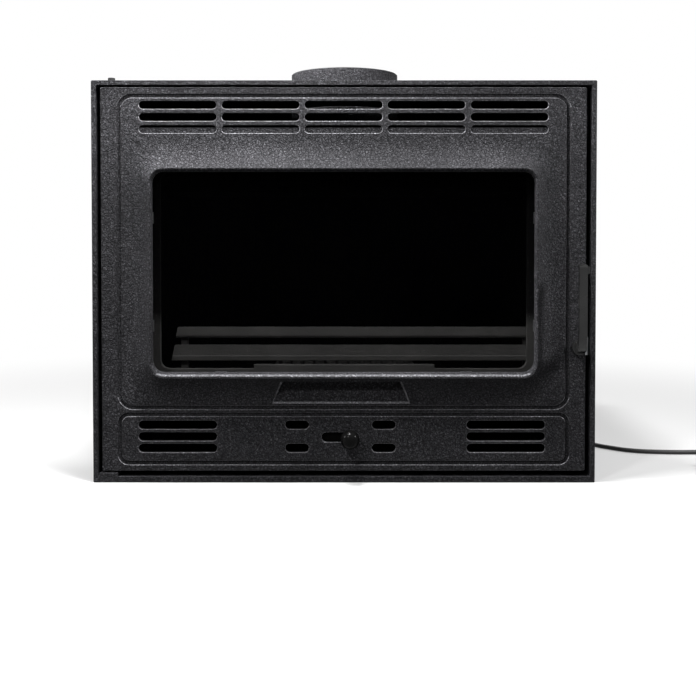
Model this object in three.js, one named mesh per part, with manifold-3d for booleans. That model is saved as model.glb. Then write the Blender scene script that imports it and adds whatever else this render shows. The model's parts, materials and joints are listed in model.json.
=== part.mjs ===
// Fan-assisted fireplace insert: a cast door with a flared window surround in a thin front frame, a cast
// firebox inside a sheet casing, a flue collar on top, a convection fan low at the back and its mains lead.
// Millimetres. X to the right, Y to the back, Z up. The origin is the middle of the base, on the surface
// that the insert stands on.
import * as THREE from "three";
import { mergeVertices } from "three/addons/utils/BufferGeometryUtils.js";
import Module from "manifold-3d";

const wasm = await Module();
wasm.setup();

// ---------------------------------------------------------------- driving dimensions
const seat = 0.3; // gap between pieces that touch
const running = 0.3; // radial gap of a turning shaft
const past = 1; // how far a cutting tool runs past the face that it opens
const overall = { width: 700, height: 559.2, depth: 420 };
const frontY = -overall.depth / 2;
const backY = overall.depth / 2;

const frame = {
  wall: 6.3, floor: 8.3, depth: 40, flange: 4, sideLand: 32, endLand: 12, innerRadius: 3, outerRadius: 1.5,
  landRadius: 6,
};
frame.backY = frontY + frame.depth;
frame.flangeY = frame.backY - frame.flange;
frame.innerX = overall.width / 2 - frame.wall;
frame.innerTop = overall.height - frame.wall;
frame.landX = frame.innerX - frame.sideLand;

const door = {
  gapLeft: 5.7, gapRight: 7, gapTop: 2.8, gapBottom: 7.8,
  setBack: 2, plate: 6, edge: 20, wall: 6, cornerRadius: 3,
};
door.left = -frame.innerX + door.gapLeft;
door.right = frame.innerX - door.gapRight;
door.half = (door.right - door.left) / 2;
door.top = frame.innerTop - door.gapTop;
door.bottom = frame.floor + door.gapBottom;
door.middle = (door.left + door.right) / 2;
door.frontY = frontY + door.setBack;
door.plateBackY = door.frontY + door.plate;
door.backY = door.frontY + door.edge;

// The window surround rises from its foot on the door plate to a lip round the glass in a hollow curve.
const hood = {
  rise: 20, power: 2.2, steps: 7, wall: 5,
  lip: { half: door.half - 70.4, bottom: 149.8, top: door.top - 113.1, radius: 20 },
  foot: { side: 36, above: 43, below: 40.5, radius: 52 },
  crest: 1, bevel: { side: 3.7, top: 4.7, bottom: 6.2, depth: 6, radius: 15 },
};
hood.lipY = door.frontY - hood.rise;
const aperture = {
  half: hood.lip.half - hood.bevel.side,
  bottom: hood.lip.bottom + hood.bevel.bottom,
  top: hood.lip.top - hood.bevel.top,
  radius: hood.bevel.radius,
};
const glass = { thickness: 4, overlap: 7.5, pocketGap: 1.2, tape: 1.4, tapeWidth: 6.5, seatDepth: 10 };
glass.seatY = hood.lipY + glass.seatDepth;
glass.frontY = glass.seatY + glass.tape + 2 * seat;
glass.backY = glass.frontY + glass.thickness;
const clip = {
  plate: 1.5, width: 16, reach: 12, tail: 2.4, toe: 4, boss: 3.8, bossGap: 0.4, rise: 5, ring: 6, ringThick: 1.7,
  sideZ: 75, endX: hood.lip.half * 0.64,
};

const groove = { width: 6.2, depth: 2 };
const upperPanel = { half: door.half - 22.3, bottom: 101.9, top: door.top - 9.2, radius: 22 };
const lowerPanel = { half: door.half - 22.3, bottom: 24.4, top: 97.8, radius: 15 };
const topGrille = { columns: 5, margin: 49.8, bar: 7, height: 11.2, below: 24.5, rowPitch: 16.7 };
topGrille.pitch = (2 * (door.half - topGrille.margin)) / topGrille.columns;
topGrille.firstRow = door.top - topGrille.below;
topGrille.blindRow = topGrille.firstRow - 2 * topGrille.rowPitch;
const grilleBack = { above: 2.3, height: 14, depth: 6, half: door.half - 45 };
const sideGrille = { shift: -2.4, x: door.half - 108.4, length: 110, height: 12.2, rows: [80.3, 64, 47.8] };
const airPort = { x: [-65.5, 55.5], length: 33.5, height: 12.2, rows: [80.3, 47.8] };
const controlSlot = { left: -31.6, right: 21.6, z: 63, height: 14 };
const plaque = { x: -4, bottom: 109.7, top: 142.8, halfBottom: 97, halfTop: 84, floor: 2, draft: 3, wall: 6 };

const hinge = {
  inset: 14, pin: 4, boss: 9, bossLength: 30, headRadius: 4.9, headHeight: 4.8, engage: 22, socket: 2, washer: 8,
};
hinge.x = door.left + hinge.inset;
hinge.y = door.frontY + door.edge / 2;
const lug = { left: -frame.innerX + 2.2, right: hinge.x + 8, top: 13.2, depth: 22 };
const rope = {
  radius: 4.5, half: door.half - 50.35, bottom: 117, top: door.top - 81.9, corner: 18, ribWidth: 3, sides: 8,
  inset: 0.5,
};
rope.y = door.backY - rope.radius;
const airRope = { half: 150, bottom: 22.8, top: 104, corner: 8 };
const sealGap = 0.4;

const slider = { plate: 2.5, left: -92, right: 112, bottom: 36.5, top: 90, lift: 0.5 };
const guide = { half: 134, lip: 2, lap: 4.4, block: 5, overlap: 0.5 };
const knob = { x: 8.5, z: 63.2, radius: 13.2, reach: 30, neck: 6, stem: 5, pin: 3, socket: 12, standoff: 1.5 };

const handle = {
  inset: 10.7, z: 189.5, top: 305.6, width: 11, thick: 8, standoff: 28, boss: 10, bossDepth: 12, root: 9, elbow: 20,
  shaft: 5, square: 4, socket: 10, nose: 3.5,
};
handle.x = door.right - handle.inset;
const latch = {
  thick: 5.4, width: 12, reach: 11.9, gap: 0.5, stand: 0.8, keeperDepth: 7, keeperHeight: 26, keeperFoot: 2.5,
};
const nut = { across: 15, height: 4.6, thread: 3 };

const bolt = { shank: 3, head: 5.2, headHeight: 4, stub: 4, lowZ: 60, highZ: overall.height - 58 };
const casing = { sheet: 2, half: overall.width / 2 - 25, top: overall.height - 20, flange: 16, lap: 12 };
casing.frontY = frame.backY + seat;
const front = {
  thick: 8, bottom: 106, top: casing.top - 52, sill: 154, block: 160, blockHalf: 129.5, throatRadius: 12, collar: 6,
};
const box = {
  inner: casing.half - 49, wall: 6, frontY: casing.frontY + front.thick + seat, backY: 158, floorZ: 131,
  roofZ: casing.top - 68,
};
front.throatHalf = box.inner - 14;
front.throatTop = hood.lip.top - 2;
const backWall = { thick: 8, rib: 5, ribWidth: 8, ribPitch: 40, margin: 30, ribEnd: 8 };
const baffle = {
  thick: 8, z: box.roofZ - 60, frontY: -70, play: 0.6, lug: 12, lugDepth: 20, lugHeight: 10, lugY: [-50, 120],
};
const grate = { half: 110, frontY: -100, backY: 40, lip: 6, rebate: 3, thick: 8, slot: 9, pitch: 18, margin: 10 };
const guard = {
  left: 27 - box.inner, right: box.inner - 3, y: -151, upper: [196.6, 212.6], lower: [164, 186.6], thick: 9, slant: 9,
  post: 10, postDepth: 8, postInset: 4, foot: 42, footHeight: 8, chamfer: 2.5, round: 5.5, belly: 1, bellyTop: 8,
};
const ashBox = { sheet: 2, backY: 80 };
const ashPan = { half: 138, sheet: 1.5, height: 62, frontY: -150, backY: 66, lip: 14, lipHalf: 40 };
const flue = {
  y: -17, bore: 76.5, radius: 83, rim: overall.height + 36.5, flange: 98, flangeThick: 6, bolts: 4, boltCircle: 90.5,
  ledge: 3, socket: 58, topGap: 2, fillet: 4.5, chamfer: 1,
};

const fan = {
  z: 66, size: 120, corner: 7, depth: 38, bore: 56, hub: 21, motor: 20, motorDepth: 15, blades: 7, tipGap: 3,
  capThick: 3, axle: 2.5, strut: 6, strutDepth: 5, partitionY: 135, guardWire: 2.2, guardEye: 4.6,
  screwPitch: 104.8, inset: 3, chord: 17, bladeThick: 1.5, rootPitch: 48, untwist: 8,
};
const cord = { radius: 3.5, innerRadius: 3, glandY: 165, glandZ: 30, glandLength: 18, glandHole: 8, sides: 8 };
const coil = {
  x: casing.half + 297, y: -78, turns: 2, half: 0.5, inner: 30, pitch: 8.6, layer: 8.2, steps: 24, sides: 6, lift: 1.9,
  tail: 22,
};
const plug = {
  face: 18.5, taper: 4, length: 34, relief: 16, reliefRadius: 6.2, reliefTip: 4.6, shoulder: 10,
  pin: 2.4, pinLength: 19, pinPitch: 19,
};

// ---------------------------------------------------------------- materials
const finish = (name, color, roughness, metalness, extra = {}) =>
  Object.assign(new THREE.MeshStandardMaterial({ color, roughness, metalness, ...extra }), { name });
const castBlack = finish("stove_paint", 0x2f2f31, 0.75, 0.3);
const sheetBlack = finish("casing_paint", 0x232325, 0.6, 0.4);
const castGrey = finish("firebox_iron", 0x3a3937, 0.85, 0.5);
const steel = finish("zinc_steel", 0x9a9c9e, 0.4, 0.9);
const ropeBlack = finish("seal_rope", 0x3b3b3a, 0.95, 0);
const ceramicGlass = finish("ceramic_glass", 0x14141a, 0.08, 0, { transparent: true, opacity: 0.35 });
const knobBlack = finish("knob_bakelite", 0x1a1b1d, 0.35, 0);
const fanBlack = finish("fan_plastic", 0x18181a, 0.55, 0);
const cordBlack = finish("cord_rubber", 0x161617, 0.6, 0);

// ---------------------------------------------------------------- solids
function solid(geometry) {
  const bare = geometry.index ? geometry.toNonIndexed() : geometry.clone();
  for (const name of Object.keys(bare.attributes)) if (name !== "position") bare.deleteAttribute(name);
  const merged = mergeVertices(bare, 1e-4);
  const make = (tris) =>
    new wasm.Manifold(
      new wasm.Mesh({ numProp: 3, vertProperties: merged.attributes.position.array, triVerts: tris }),
    );
  const triVerts = new Uint32Array(merged.index.array);
  const made = make(triVerts);
  if (made.volume() > 0) return made;
  for (let i = 0; i < triVerts.length; i += 3) {
    [triVerts[i + 1], triVerts[i + 2]] = [triVerts[i + 2], triVerts[i + 1]];
  }
  return make(triVerts);
}

function geometryOf(manifold) {
  const { vertProperties, triVerts, numProp } = manifold.getMesh();
  if (numProp !== 3) throw new Error("a solid carries more than positions");
  const g = new THREE.BufferGeometry();
  g.setAttribute("position", new THREE.BufferAttribute(new Float32Array(vertProperties), 3));
  g.setIndex([...triVerts]);
  return g;
}

const join = (...parts) => parts.flat().reduce((a, b) => a.add(b));
const cut = (body, ...tools) => tools.flat().reduce((a, b) => a.subtract(b), body);

function block(x0, x1, y0, y1, z0, z1) {
  const g = new THREE.BoxGeometry(x1 - x0, y1 - y0, z1 - z0);
  return solid(g.translate((x0 + x1) / 2, (y0 + y1) / 2, (z0 + z1) / 2));
}

const axisTurn = {
  x: (g) => g.rotateZ(-Math.PI / 2),
  y: (g) => g,
  z: (g) => g.rotateX(Math.PI / 2),
};

// A cylinder or cone along an axis, from one end to the other.
function rod(axis, centre, from, to, radius, { endRadius = radius, sides = 24 } = {}) {
  const g = new THREE.CylinderGeometry(endRadius, radius, to - from, sides);
  axisTurn[axis](g);
  const at = { x: centre[0], y: centre[1], z: centre[2] };
  at[axis] = (from + to) / 2;
  return solid(g.translate(at.x, at.y, at.z));
}

// A closed profile of [radius, height] pairs turned round a vertical axis.
function turned(profile, x, y, sides = 48) {
  const points = [...profile, profile[0]].map(([r, z]) => new THREE.Vector2(r, z));
  return solid(new THREE.LatheGeometry(points, sides).rotateX(Math.PI / 2).translate(x, y, 0));
}

// A shape drawn in X and Z, extruded from one Y to another.
function plateXZ(shape, y0, y1, curveSegments = 6) {
  const g = new THREE.ExtrudeGeometry(shape, { depth: y1 - y0, bevelEnabled: false, curveSegments });
  return solid(g.rotateX(Math.PI / 2).translate(0, y1, 0));
}

// A shape drawn in Y and Z, extruded from one X to another.
function plateYZ(shape, x0, x1, curveSegments = 6) {
  const g = new THREE.ExtrudeGeometry(shape, { depth: x1 - x0, bevelEnabled: false, curveSegments });
  const turn = new THREE.Matrix4().makeBasis(
    new THREE.Vector3(0, 1, 0), new THREE.Vector3(0, 0, 1), new THREE.Vector3(1, 0, 0),
  );
  return solid(g.applyMatrix4(turn).translate(x0, 0, 0));
}

// Points of a rectangle with round corners.
function roundRect({ x = door.middle, half, bottom, top, radius }, steps = 6) {
  const middle = (bottom + top) / 2;
  const points = [];
  const corners = [[1, -1], [1, 1], [-1, 1], [-1, -1]];
  corners.forEach(([sx, sz], i) => {
    const cx = sx * (half - radius);
    const cz = middle + sz * ((top - bottom) / 2 - radius);
    for (let k = 0; k <= steps; k++) {
      const angle = -Math.PI / 2 + (i + k / steps) * (Math.PI / 2);
      points.push([x + cx + radius * Math.cos(angle), cz + radius * Math.sin(angle)]);
    }
  });
  return points;
}

const shapeOf = (points) => new THREE.Shape(points.map(([u, v]) => new THREE.Vector2(u, v)));
const grown = (r, by) => ({
  ...r, half: r.half + by, bottom: r.bottom - by, top: r.top + by, radius: Math.max(r.radius + by, 0.5),
});
const panelOf = (outline, y0, y1, steps) => plateXZ(shapeOf(roundRect(outline, steps)), y0, y1);
const frameOf = (outer, inner, y0, y1, steps = 6) =>
  cut(panelOf(outer, y0, y1, steps), panelOf(inner, y0 - past, y1 + past, steps));

function stadium(cx, cz, length, height) {
  const r = height / 2;
  const s = new THREE.Shape();
  s.absarc(cx + length / 2 - r, cz, r, -Math.PI / 2, Math.PI / 2, false);
  s.absarc(cx - length / 2 + r, cz, r, Math.PI / 2, (3 * Math.PI) / 2, false);
  return s;
}

// Joins sections of equally many points into one closed solid.
function skin(sections) {
  const n = sections[0].length;
  const positions = sections.flat().flatMap((p) => [p.x, p.y, p.z]);
  const index = [];
  for (let r = 0; r + 1 < sections.length; r++) {
    for (let k = 0; k < n; k++) {
      const a = r * n + k;
      const b = r * n + ((k + 1) % n);
      index.push(a, b, a + n, b, b + n, a + n);
    }
  }
  const last = (sections.length - 1) * n;
  for (let k = 1; k + 1 < n; k++) {
    index.push(0, k + 1, k);
    index.push(last, last + k, last + k + 1);
  }
  const g = new THREE.BufferGeometry();
  g.setAttribute("position", new THREE.Float32BufferAttribute(positions, 3));
  g.setIndex(index);
  return solid(g);
}

// Outlines in X and Z, each at its own Y, joined into one closed solid.
const loft = (rings) => skin(rings.map(([points, y]) => points.map(([x, z]) => new THREE.Vector3(x, y, z))));

// A round-section rope laid along a closed rounded rectangle in the XZ plane.
function ropeRing(path, y, radius, sides) {
  const n = path.length;
  const positions = [];
  const index = [];
  for (let i = 0; i < n; i++) {
    const [x0, z0] = path[(i + n - 1) % n];
    const [x1, z1] = path[(i + 1) % n];
    const length = Math.hypot(x1 - x0, z1 - z0);
    const outX = (z1 - z0) / length;
    const outZ = -(x1 - x0) / length;
    for (let k = 0; k < sides; k++) {
      const a = ((k + 0.5) / sides) * 2 * Math.PI;
      const across = radius * Math.cos(a);
      positions.push(path[i][0] + outX * across, y + radius * Math.sin(a), path[i][1] + outZ * across);
    }
  }
  for (let i = 0; i < n; i++) {
    for (let k = 0; k < sides; k++) {
      const a = i * sides + k;
      const b = i * sides + ((k + 1) % sides);
      const c = ((i + 1) % n) * sides + k;
      const d = ((i + 1) % n) * sides + ((k + 1) % sides);
      index.push(a, c, b, b, c, d);
    }
  }
  const g = new THREE.BufferGeometry();
  g.setAttribute("position", new THREE.Float32BufferAttribute(positions, 3));
  g.setIndex(index);
  return solid(g);
}

// A tube through points, its section carried along without twist.
function tube(points, radius, sides) {
  let side = new THREE.Vector3(0, 0, 1).cross(points[1].clone().sub(points[0]));
  return skin(
    points.map((p, i) => {
      const ahead = points[Math.min(i + 1, points.length - 1)];
      const behind = points[Math.max(i - 1, 0)];
      const along = ahead.clone().sub(behind).normalize();
      side = side.clone().addScaledVector(along, -side.dot(along)).normalize();
      const up = along.clone().cross(side);
      return [...Array(sides).keys()].map((k) => {
        const a = ((k + 0.5) / sides) * 2 * Math.PI;
        return p.clone().addScaledVector(side, radius * Math.cos(a)).addScaledVector(up, radius * Math.sin(a));
      });
    }),
  );
}

// A hexagon bolt whose head sits on a seat at the given point, its shank running along the axis.
function hexBolt([x, y, z], axis, way, length) {
  const at = { x, y, z }[axis];
  const stretch = (from, to, radius, sides) =>
    rod(axis, [x, y, z], Math.min(from, to), Math.max(from, to), radius, { sides });
  return join(
    stretch(at, at - way * bolt.headHeight, bolt.head, 6),
    stretch(at - way, at + way * length, bolt.shank, 16),
  );
}
const boltHoles = (seats, axis, from, to) =>
  seats.map((at) => rod(axis, at, from - past, to + past, bolt.shank + running, { sides: 16 }));

const root = new THREE.Group();
function add(name, material, body, parent = root) {
  const geometry = body.isBufferGeometry ? body : geometryOf(body);
  const mesh = new THREE.Mesh(geometry, material);
  mesh.name = name;
  parent.add(mesh);
  return mesh;
}

// ---------------------------------------------------------------- front frame and hinge
const boltX = casing.half + casing.flange / 2;
const frameBolts = {
  frame_bolt_lower_left: [-boltX, frame.flangeY, bolt.lowZ],
  frame_bolt_upper_left: [-boltX, frame.flangeY, bolt.highZ],
  frame_bolt_lower_right: [boltX, frame.flangeY, bolt.lowZ],
  frame_bolt_upper_right: [boltX, frame.flangeY, bolt.highZ],
};

function frontFrame() {
  const half = overall.width / 2;
  const middle = { x: 0 };
  const outer = { ...middle, half, bottom: 0, top: overall.height, radius: frame.outerRadius };
  const inner = {
    ...middle, half: frame.innerX, bottom: frame.floor, top: frame.innerTop, radius: frame.innerRadius,
  };
  const land = {
    ...middle, half: frame.landX, bottom: frame.floor + frame.endLand, top: frame.innerTop - frame.endLand,
    radius: frame.landRadius,
  };
  const ring = frameOf(outer, inner, frontY, frame.backY, 2);
  const flange = frameOf(grown(inner, past), land, frame.flangeY, frame.backY, 2);
  const hingeLug = block(lug.left, lug.right, frontY, frontY + lug.depth, frame.floor - past, lug.top);
  const pinHoles = [
    rod("z", [hinge.x, hinge.y], frame.innerTop - past, overall.height + past, hinge.pin + running),
    rod("z", [hinge.x, hinge.y], hinge.socket, lug.top + past, hinge.pin + running),
  ];
  const boltSet = boltHoles(Object.values(frameBolts), "y", frame.flangeY, frame.backY);
  return cut(join(ring, flange, hingeLug), pinHoles, boltSet);
}
add("front_frame", castBlack, frontFrame());

const washerTop = door.bottom - seat;
add(
  "hinge_pin_upper",
  sheetBlack,
  join(
    rod("z", [hinge.x, hinge.y], door.top - hinge.engage, overall.height + past, hinge.pin),
    rod("z", [hinge.x, hinge.y], overall.height + seat, overall.height + hinge.headHeight, hinge.headRadius),
  ),
);
add(
  "hinge_pin_lower",
  sheetBlack,
  rod("z", [hinge.x, hinge.y], hinge.socket + seat, door.bottom + hinge.engage, hinge.pin),
);
add(
  "hinge_washer",
  sheetBlack,
  cut(
    rod("z", [hinge.x, hinge.y], lug.top + seat, washerTop, hinge.washer),
    rod("z", [hinge.x, hinge.y], lug.top, washerTop + past, hinge.pin + running),
  ),
);

// The keeper stands on the frame's right wall in front of the latch tongue's path.
const tongueTipX = handle.x + latch.reach;
const keeperX = tongueTipX + latch.gap;
const keeperBack = frame.innerX - seat;
const tongueY = door.backY + latch.stand;
add(
  "latch_keeper",
  steel,
  join(
    block(keeperX, keeperBack, tongueY - latch.keeperDepth, tongueY - latch.gap,
      handle.z - latch.keeperHeight / 2, handle.z + latch.keeperHeight / 2),
    block(keeperBack - latch.keeperFoot, keeperBack, tongueY - latch.keeperDepth, frame.flangeY - seat,
      handle.z - latch.keeperHeight / 2, handle.z + latch.keeperHeight / 2),
  ),
);

// ---------------------------------------------------------------- door
function hoodOutline(s, inset = 0) {
  const { lip, foot } = hood;
  const away = 1 - s;
  return roundRect({
    half: lip.half + foot.side * away - inset,
    bottom: lip.bottom - foot.below * away + inset,
    top: lip.top + foot.above * away - inset,
    radius: lip.radius + (foot.radius - lip.radius) * away - inset * 0.6,
  });
}
const hoodY = (s) => door.frontY - hood.rise * s ** hood.power;
const hoodSteps = [...Array(hood.steps + 1).keys()].map((i) => i / hood.steps);

const throat = { half: rope.half, bottom: rope.bottom, top: rope.top, radius: rope.corner };
const airMouth = { x: 0, half: airRope.half, bottom: airRope.bottom, top: airRope.top, radius: airRope.corner };

const glassEdge = grown(aperture, glass.overlap);
const clipOut = glass.pocketGap + clip.boss + clip.bossGap;

const clipSeats = [
  ...[-1, 1].flatMap((s) =>
    [-clip.sideZ, clip.sideZ].map((dz) => ({
      x: door.middle + s * (glassEdge.half + clipOut),
      z: (glassEdge.bottom + glassEdge.top) / 2 + dz,
      in: [-s, 0],
    })),
  ),
  ...[-1, 1].flatMap((s) =>
    [-clip.endX, clip.endX].map((dx) => ({
      x: door.middle + dx,
      z: s > 0 ? glassEdge.top + clipOut : glassEdge.bottom - clipOut,
      in: [0, -s],
    })),
  ),
];
const clipBossY = glass.backY + clip.rise;

const handleCentre = [handle.x, 0, handle.z];
const arcSteps = 3; // steps a quarter turn in a slot's round end
const sliver = 0.02; // keeps two faces of a loft from lying in one plane
const slotTool = (x, z, length, height, y0 = door.frontY - past, y1 = door.backY) =>
  plateXZ(stadium(x, z, length, height), y0, y1, arcSteps);
function grilleSlots() {
  const tools = [];
  const { columns, pitch, bar, height, firstRow, rowPitch } = topGrille;
  for (let c = 0; c < columns; c++) {
    const x = door.middle + (c - (columns - 1) / 2) * pitch;
    for (let r = 0; r < 3; r++) tools.push(slotTool(x, firstRow - r * rowPitch, pitch - bar, height));
  }
  for (const side of [-1, 1]) {
    const x = door.middle + sideGrille.shift + side * sideGrille.x;
    for (const z of sideGrille.rows) tools.push(slotTool(x, z, sideGrille.length, sideGrille.height));
  }
  for (const x of airPort.x) {
    for (const z of airPort.rows) tools.push(slotTool(x, z, airPort.length, airPort.height));
  }
  const { left, right, z, height: tall } = controlSlot;
  tools.push(slotTool((left + right) / 2, z, right - left, tall));
  return tools;
}

function doorCasting() {
  const outline = { half: door.half, bottom: door.bottom, top: door.top, radius: door.cornerRadius };
  const plate = panelOf(outline, door.frontY, door.plateBackY, 2);
  const edge = frameOf(outline, grown(outline, -door.wall), door.frontY + past, door.backY, 2);

  const rise = loft([
    [hoodOutline(0), door.plateBackY - past],
    ...hoodSteps.map((s) => [hoodOutline(s), hoodY(s) - (s === 0 ? sliver : 0)]),
  ]);
  const hollowSteps = hoodSteps.filter((s) => hoodY(s) + hood.wall > glass.seatY);
  const hollow = loft([
    [hoodOutline(0, hood.wall), door.backY + past],
    ...hollowSteps.map((s) => [hoodOutline(s, hood.wall), hoodY(s) + hood.wall]),
  ]);

  // channels for the two sealing ropes
  const channelHalf = rope.radius + rope.inset;
  const channel = (path, from) =>
    frameOf(grown(path, channelHalf + rope.ribWidth), grown(path, -channelHalf - rope.ribWidth), from, rope.y, 4);
  const channelCut = (path) =>
    frameOf(grown(path, channelHalf), grown(path, -channelHalf), rope.y - channelHalf, door.backY + past, 4);

  // the bare plaque: a trapezoid sunk in the surround's lower flank, closed behind
  const plaqueRing = (inset, y) => [
    [
      [plaque.x - plaque.halfBottom + inset, plaque.bottom + inset],
      [plaque.x + plaque.halfBottom - inset, plaque.bottom + inset],
      [plaque.x + plaque.halfTop - inset, plaque.top],
      [plaque.x - plaque.halfTop + inset, plaque.top],
    ],
    y,
  ];
  const plaqueY = door.frontY + plaque.floor;
  const recess = loft([
    plaqueRing(0, hood.lipY - past), plaqueRing(0, door.frontY - seat), plaqueRing(plaque.draft, plaqueY),
  ]);
  const filler = block(
    plaque.x - plaque.halfBottom - plaque.wall, plaque.x + plaque.halfBottom + plaque.wall,
    hood.lipY, door.plateBackY, plaque.bottom - plaque.draft, glassEdge.bottom - glass.pocketGap - hood.crest,
  ).intersect(rise);
  const backingTop = topGrille.blindRow + grilleBack.above;
  const backing = block(-grilleBack.half, grilleBack.half, door.plateBackY, door.plateBackY + grilleBack.depth,
    backingTop - grilleBack.height, backingTop);

  const pocket = panelOf(grown(glassEdge, glass.pocketGap), glass.seatY, door.backY + past, 4);
  const bevelled = loft([
    [roundRect(grown(hood.lip, -hood.crest)), hood.lipY - sliver],
    [roundRect(aperture), hood.lipY + hood.bevel.depth],
    [roundRect(aperture), glass.seatY + past],
  ]);

  const bossAt = (z0, z1) => rod("z", [hinge.x, hinge.y], z0, z1, hinge.boss, { sides: 20 });
  const bosses = [bossAt(door.bottom, door.bottom + hinge.bossLength), bossAt(door.top - hinge.bossLength, door.top)];
  const bores = [door.bottom - past, door.top - hinge.engage - hinge.socket].map((z) =>
    rod("z", [hinge.x, hinge.y], z, z + hinge.engage + hinge.socket + past, hinge.pin + running),
  );
  const shaftBoss = rod("y", handleCentre, door.plateBackY - past, door.backY, 2 * handle.shaft);
  const shaftBore = rod("y", handleCentre, door.frontY - past, door.backY + past, handle.shaft + running);
  const clipBosses = clipSeats.map(({ x, z }) =>
    rod("y", [x, 0, z], glass.backY - past, clipBossY, clip.boss, { sides: 12 }),
  );
  const grooves = [upperPanel, lowerPanel].map((panel) =>
    frameOf(panel, grown(panel, -groove.width), door.frontY - past, door.frontY + groove.depth, 6),
  );
  const trim = block(door.left, door.right, hood.lipY - past, door.backY, door.bottom, door.top);

  let body = join(plate, edge);
  body = cut(body, grooves);
  body = join(body, rise);
  body = cut(body, hollow);
  body = join(body, filler, channel(throat, door.plateBackY - door.plate + past),
    channel(airMouth, door.plateBackY - past), bosses, shaftBoss);
  body = cut(body, pocket, bevelled, recess, grilleSlots());
  body = join(body, backing, clipBosses);
  body = cut(body, channelCut(throat), channelCut(airMouth), bores, shaftBore);
  return body.intersect(trim);
}

const guideTop = slider.top + seat;
const guideBottom = slider.bottom - seat;
const sliderY = door.plateBackY + slider.lift;
const guideBackY = sliderY + slider.plate + seat;

add("door_casting", castBlack, doorCasting());
add("window_glass", ceramicGlass, panelOf(glassEdge, glass.frontY, glass.backY, 4));
add(
  "glass_gasket",
  ropeBlack,
  frameOf(grown(glassEdge, -seat), grown(glassEdge, -glass.tapeWidth), glass.seatY + seat, glass.frontY - seat, 4),
);

const clipY = clipBossY + seat;
function glassRetainer() {
  const ringY = glass.backY + seat;
  const ring = frameOf(grown(glassEdge, seat), grown(glassEdge, -clip.ring), ringY, ringY + clip.ringThick, 4);
  const tabs = clipSeats.map(({ x, z, in: [dx, dz] }) => {
    const halfW = clip.width / 2;
    const slab = (from, to, y0, y1) => {
      const ends = [from, to];
      const xs = dx ? ends.map((along) => x + dx * along).sort((a, b) => a - b) : [x - halfW, x + halfW];
      const zs = dz ? ends.map((along) => z + dz * along).sort((a, b) => a - b) : [z - halfW, z + halfW];
      return block(...xs, y0, y1, ...zs);
    };
    return join(
      slab(-clip.tail, clip.reach, clipY, clipY + clip.plate),
      slab(clip.reach - clip.toe, clip.reach, ringY + seat, clipY + clip.plate / 2),
    );
  });
  return join(ring, tabs);
}
add("glass_retainer", steel, glassRetainer());
add("window_rope", ropeBlack, ropeRing(roundRect(throat, 4), rope.y, rope.radius, rope.sides));
add("air_box_rope", ropeBlack, ropeRing(roundRect(airMouth, 3), rope.y, rope.radius, rope.sides));

// ---------------------------------------------------------------- air control
const span = (a, b) => [Math.min(a, b), Math.max(a, b)];
for (const [name, t, edge] of [["slider_guide_upper", 1, guideTop], ["slider_guide_lower", -1, guideBottom]]) {
  add(
    name,
    steel,
    join(
      block(-guide.half, guide.half, door.plateBackY + seat, guideBackY + guide.overlap,
        ...span(edge, edge + t * guide.block)),
      block(-guide.half, guide.half, guideBackY, guideBackY + guide.lip,
        ...span(edge - t * guide.lap, edge + t * guide.block)),
    ),
  );
}
add(
  "air_slider_plate",
  sheetBlack,
  cut(
    block(slider.left, slider.right, sliderY, sliderY + slider.plate, slider.bottom, slider.top),
    airPort.x.flatMap((x) =>
      airPort.rows.map((z) =>
        slotTool(x, z, airPort.length + 2 * seat, airPort.height - 2 * seat,
          sliderY - past, sliderY + slider.plate + past),
      ),
    ),
    rod("y", [knob.x, 0, knob.z], sliderY - past, sliderY + slider.plate + past, knob.pin + seat, { sides: 16 }),
  ),
);
const knobFaceY = door.frontY - knob.reach;
add(
  "slider_stem",
  steel,
  join(
    rod("y", [knob.x, 0, knob.z], door.frontY - knob.socket, sliderY - seat, knob.stem, { sides: 20 }),
    rod("y", [knob.x, 0, knob.z], sliderY - past, sliderY + slider.plate + past, knob.pin, { sides: 16 }),
  ),
);
function airKnob() {
  const rearY = door.frontY - knob.standoff;
  // the head's outline, as shares of the head's radius and of the knob's length
  const head = [[0.73, 0.51], [0.94, 0.62], [1, 0.7], [0.92, 0.84], [0.7, 0.95], [0.4, 0.99], [0, 1]];
  const lengthwise = [
    [0, rearY], [knob.neck * 1.33, rearY], [knob.neck, rearY - knob.neck], [knob.neck * 1.08, rearY - knob.neck * 1.6],
    ...head.map(([r, y]) => [knob.radius * r, rearY + (knobFaceY - rearY) * y]),
  ];
  const g = new THREE.LatheGeometry(lengthwise.map(([r, y]) => new THREE.Vector2(r, y)), 24);
  return cut(
    solid(g.translate(knob.x, 0, knob.z)),
    rod("y", [knob.x, 0, knob.z], door.frontY - knob.socket - seat, rearY + past, knob.stem + seat, { sides: 20 }),
  );
}
add("air_knob", knobBlack, airKnob());

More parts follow.
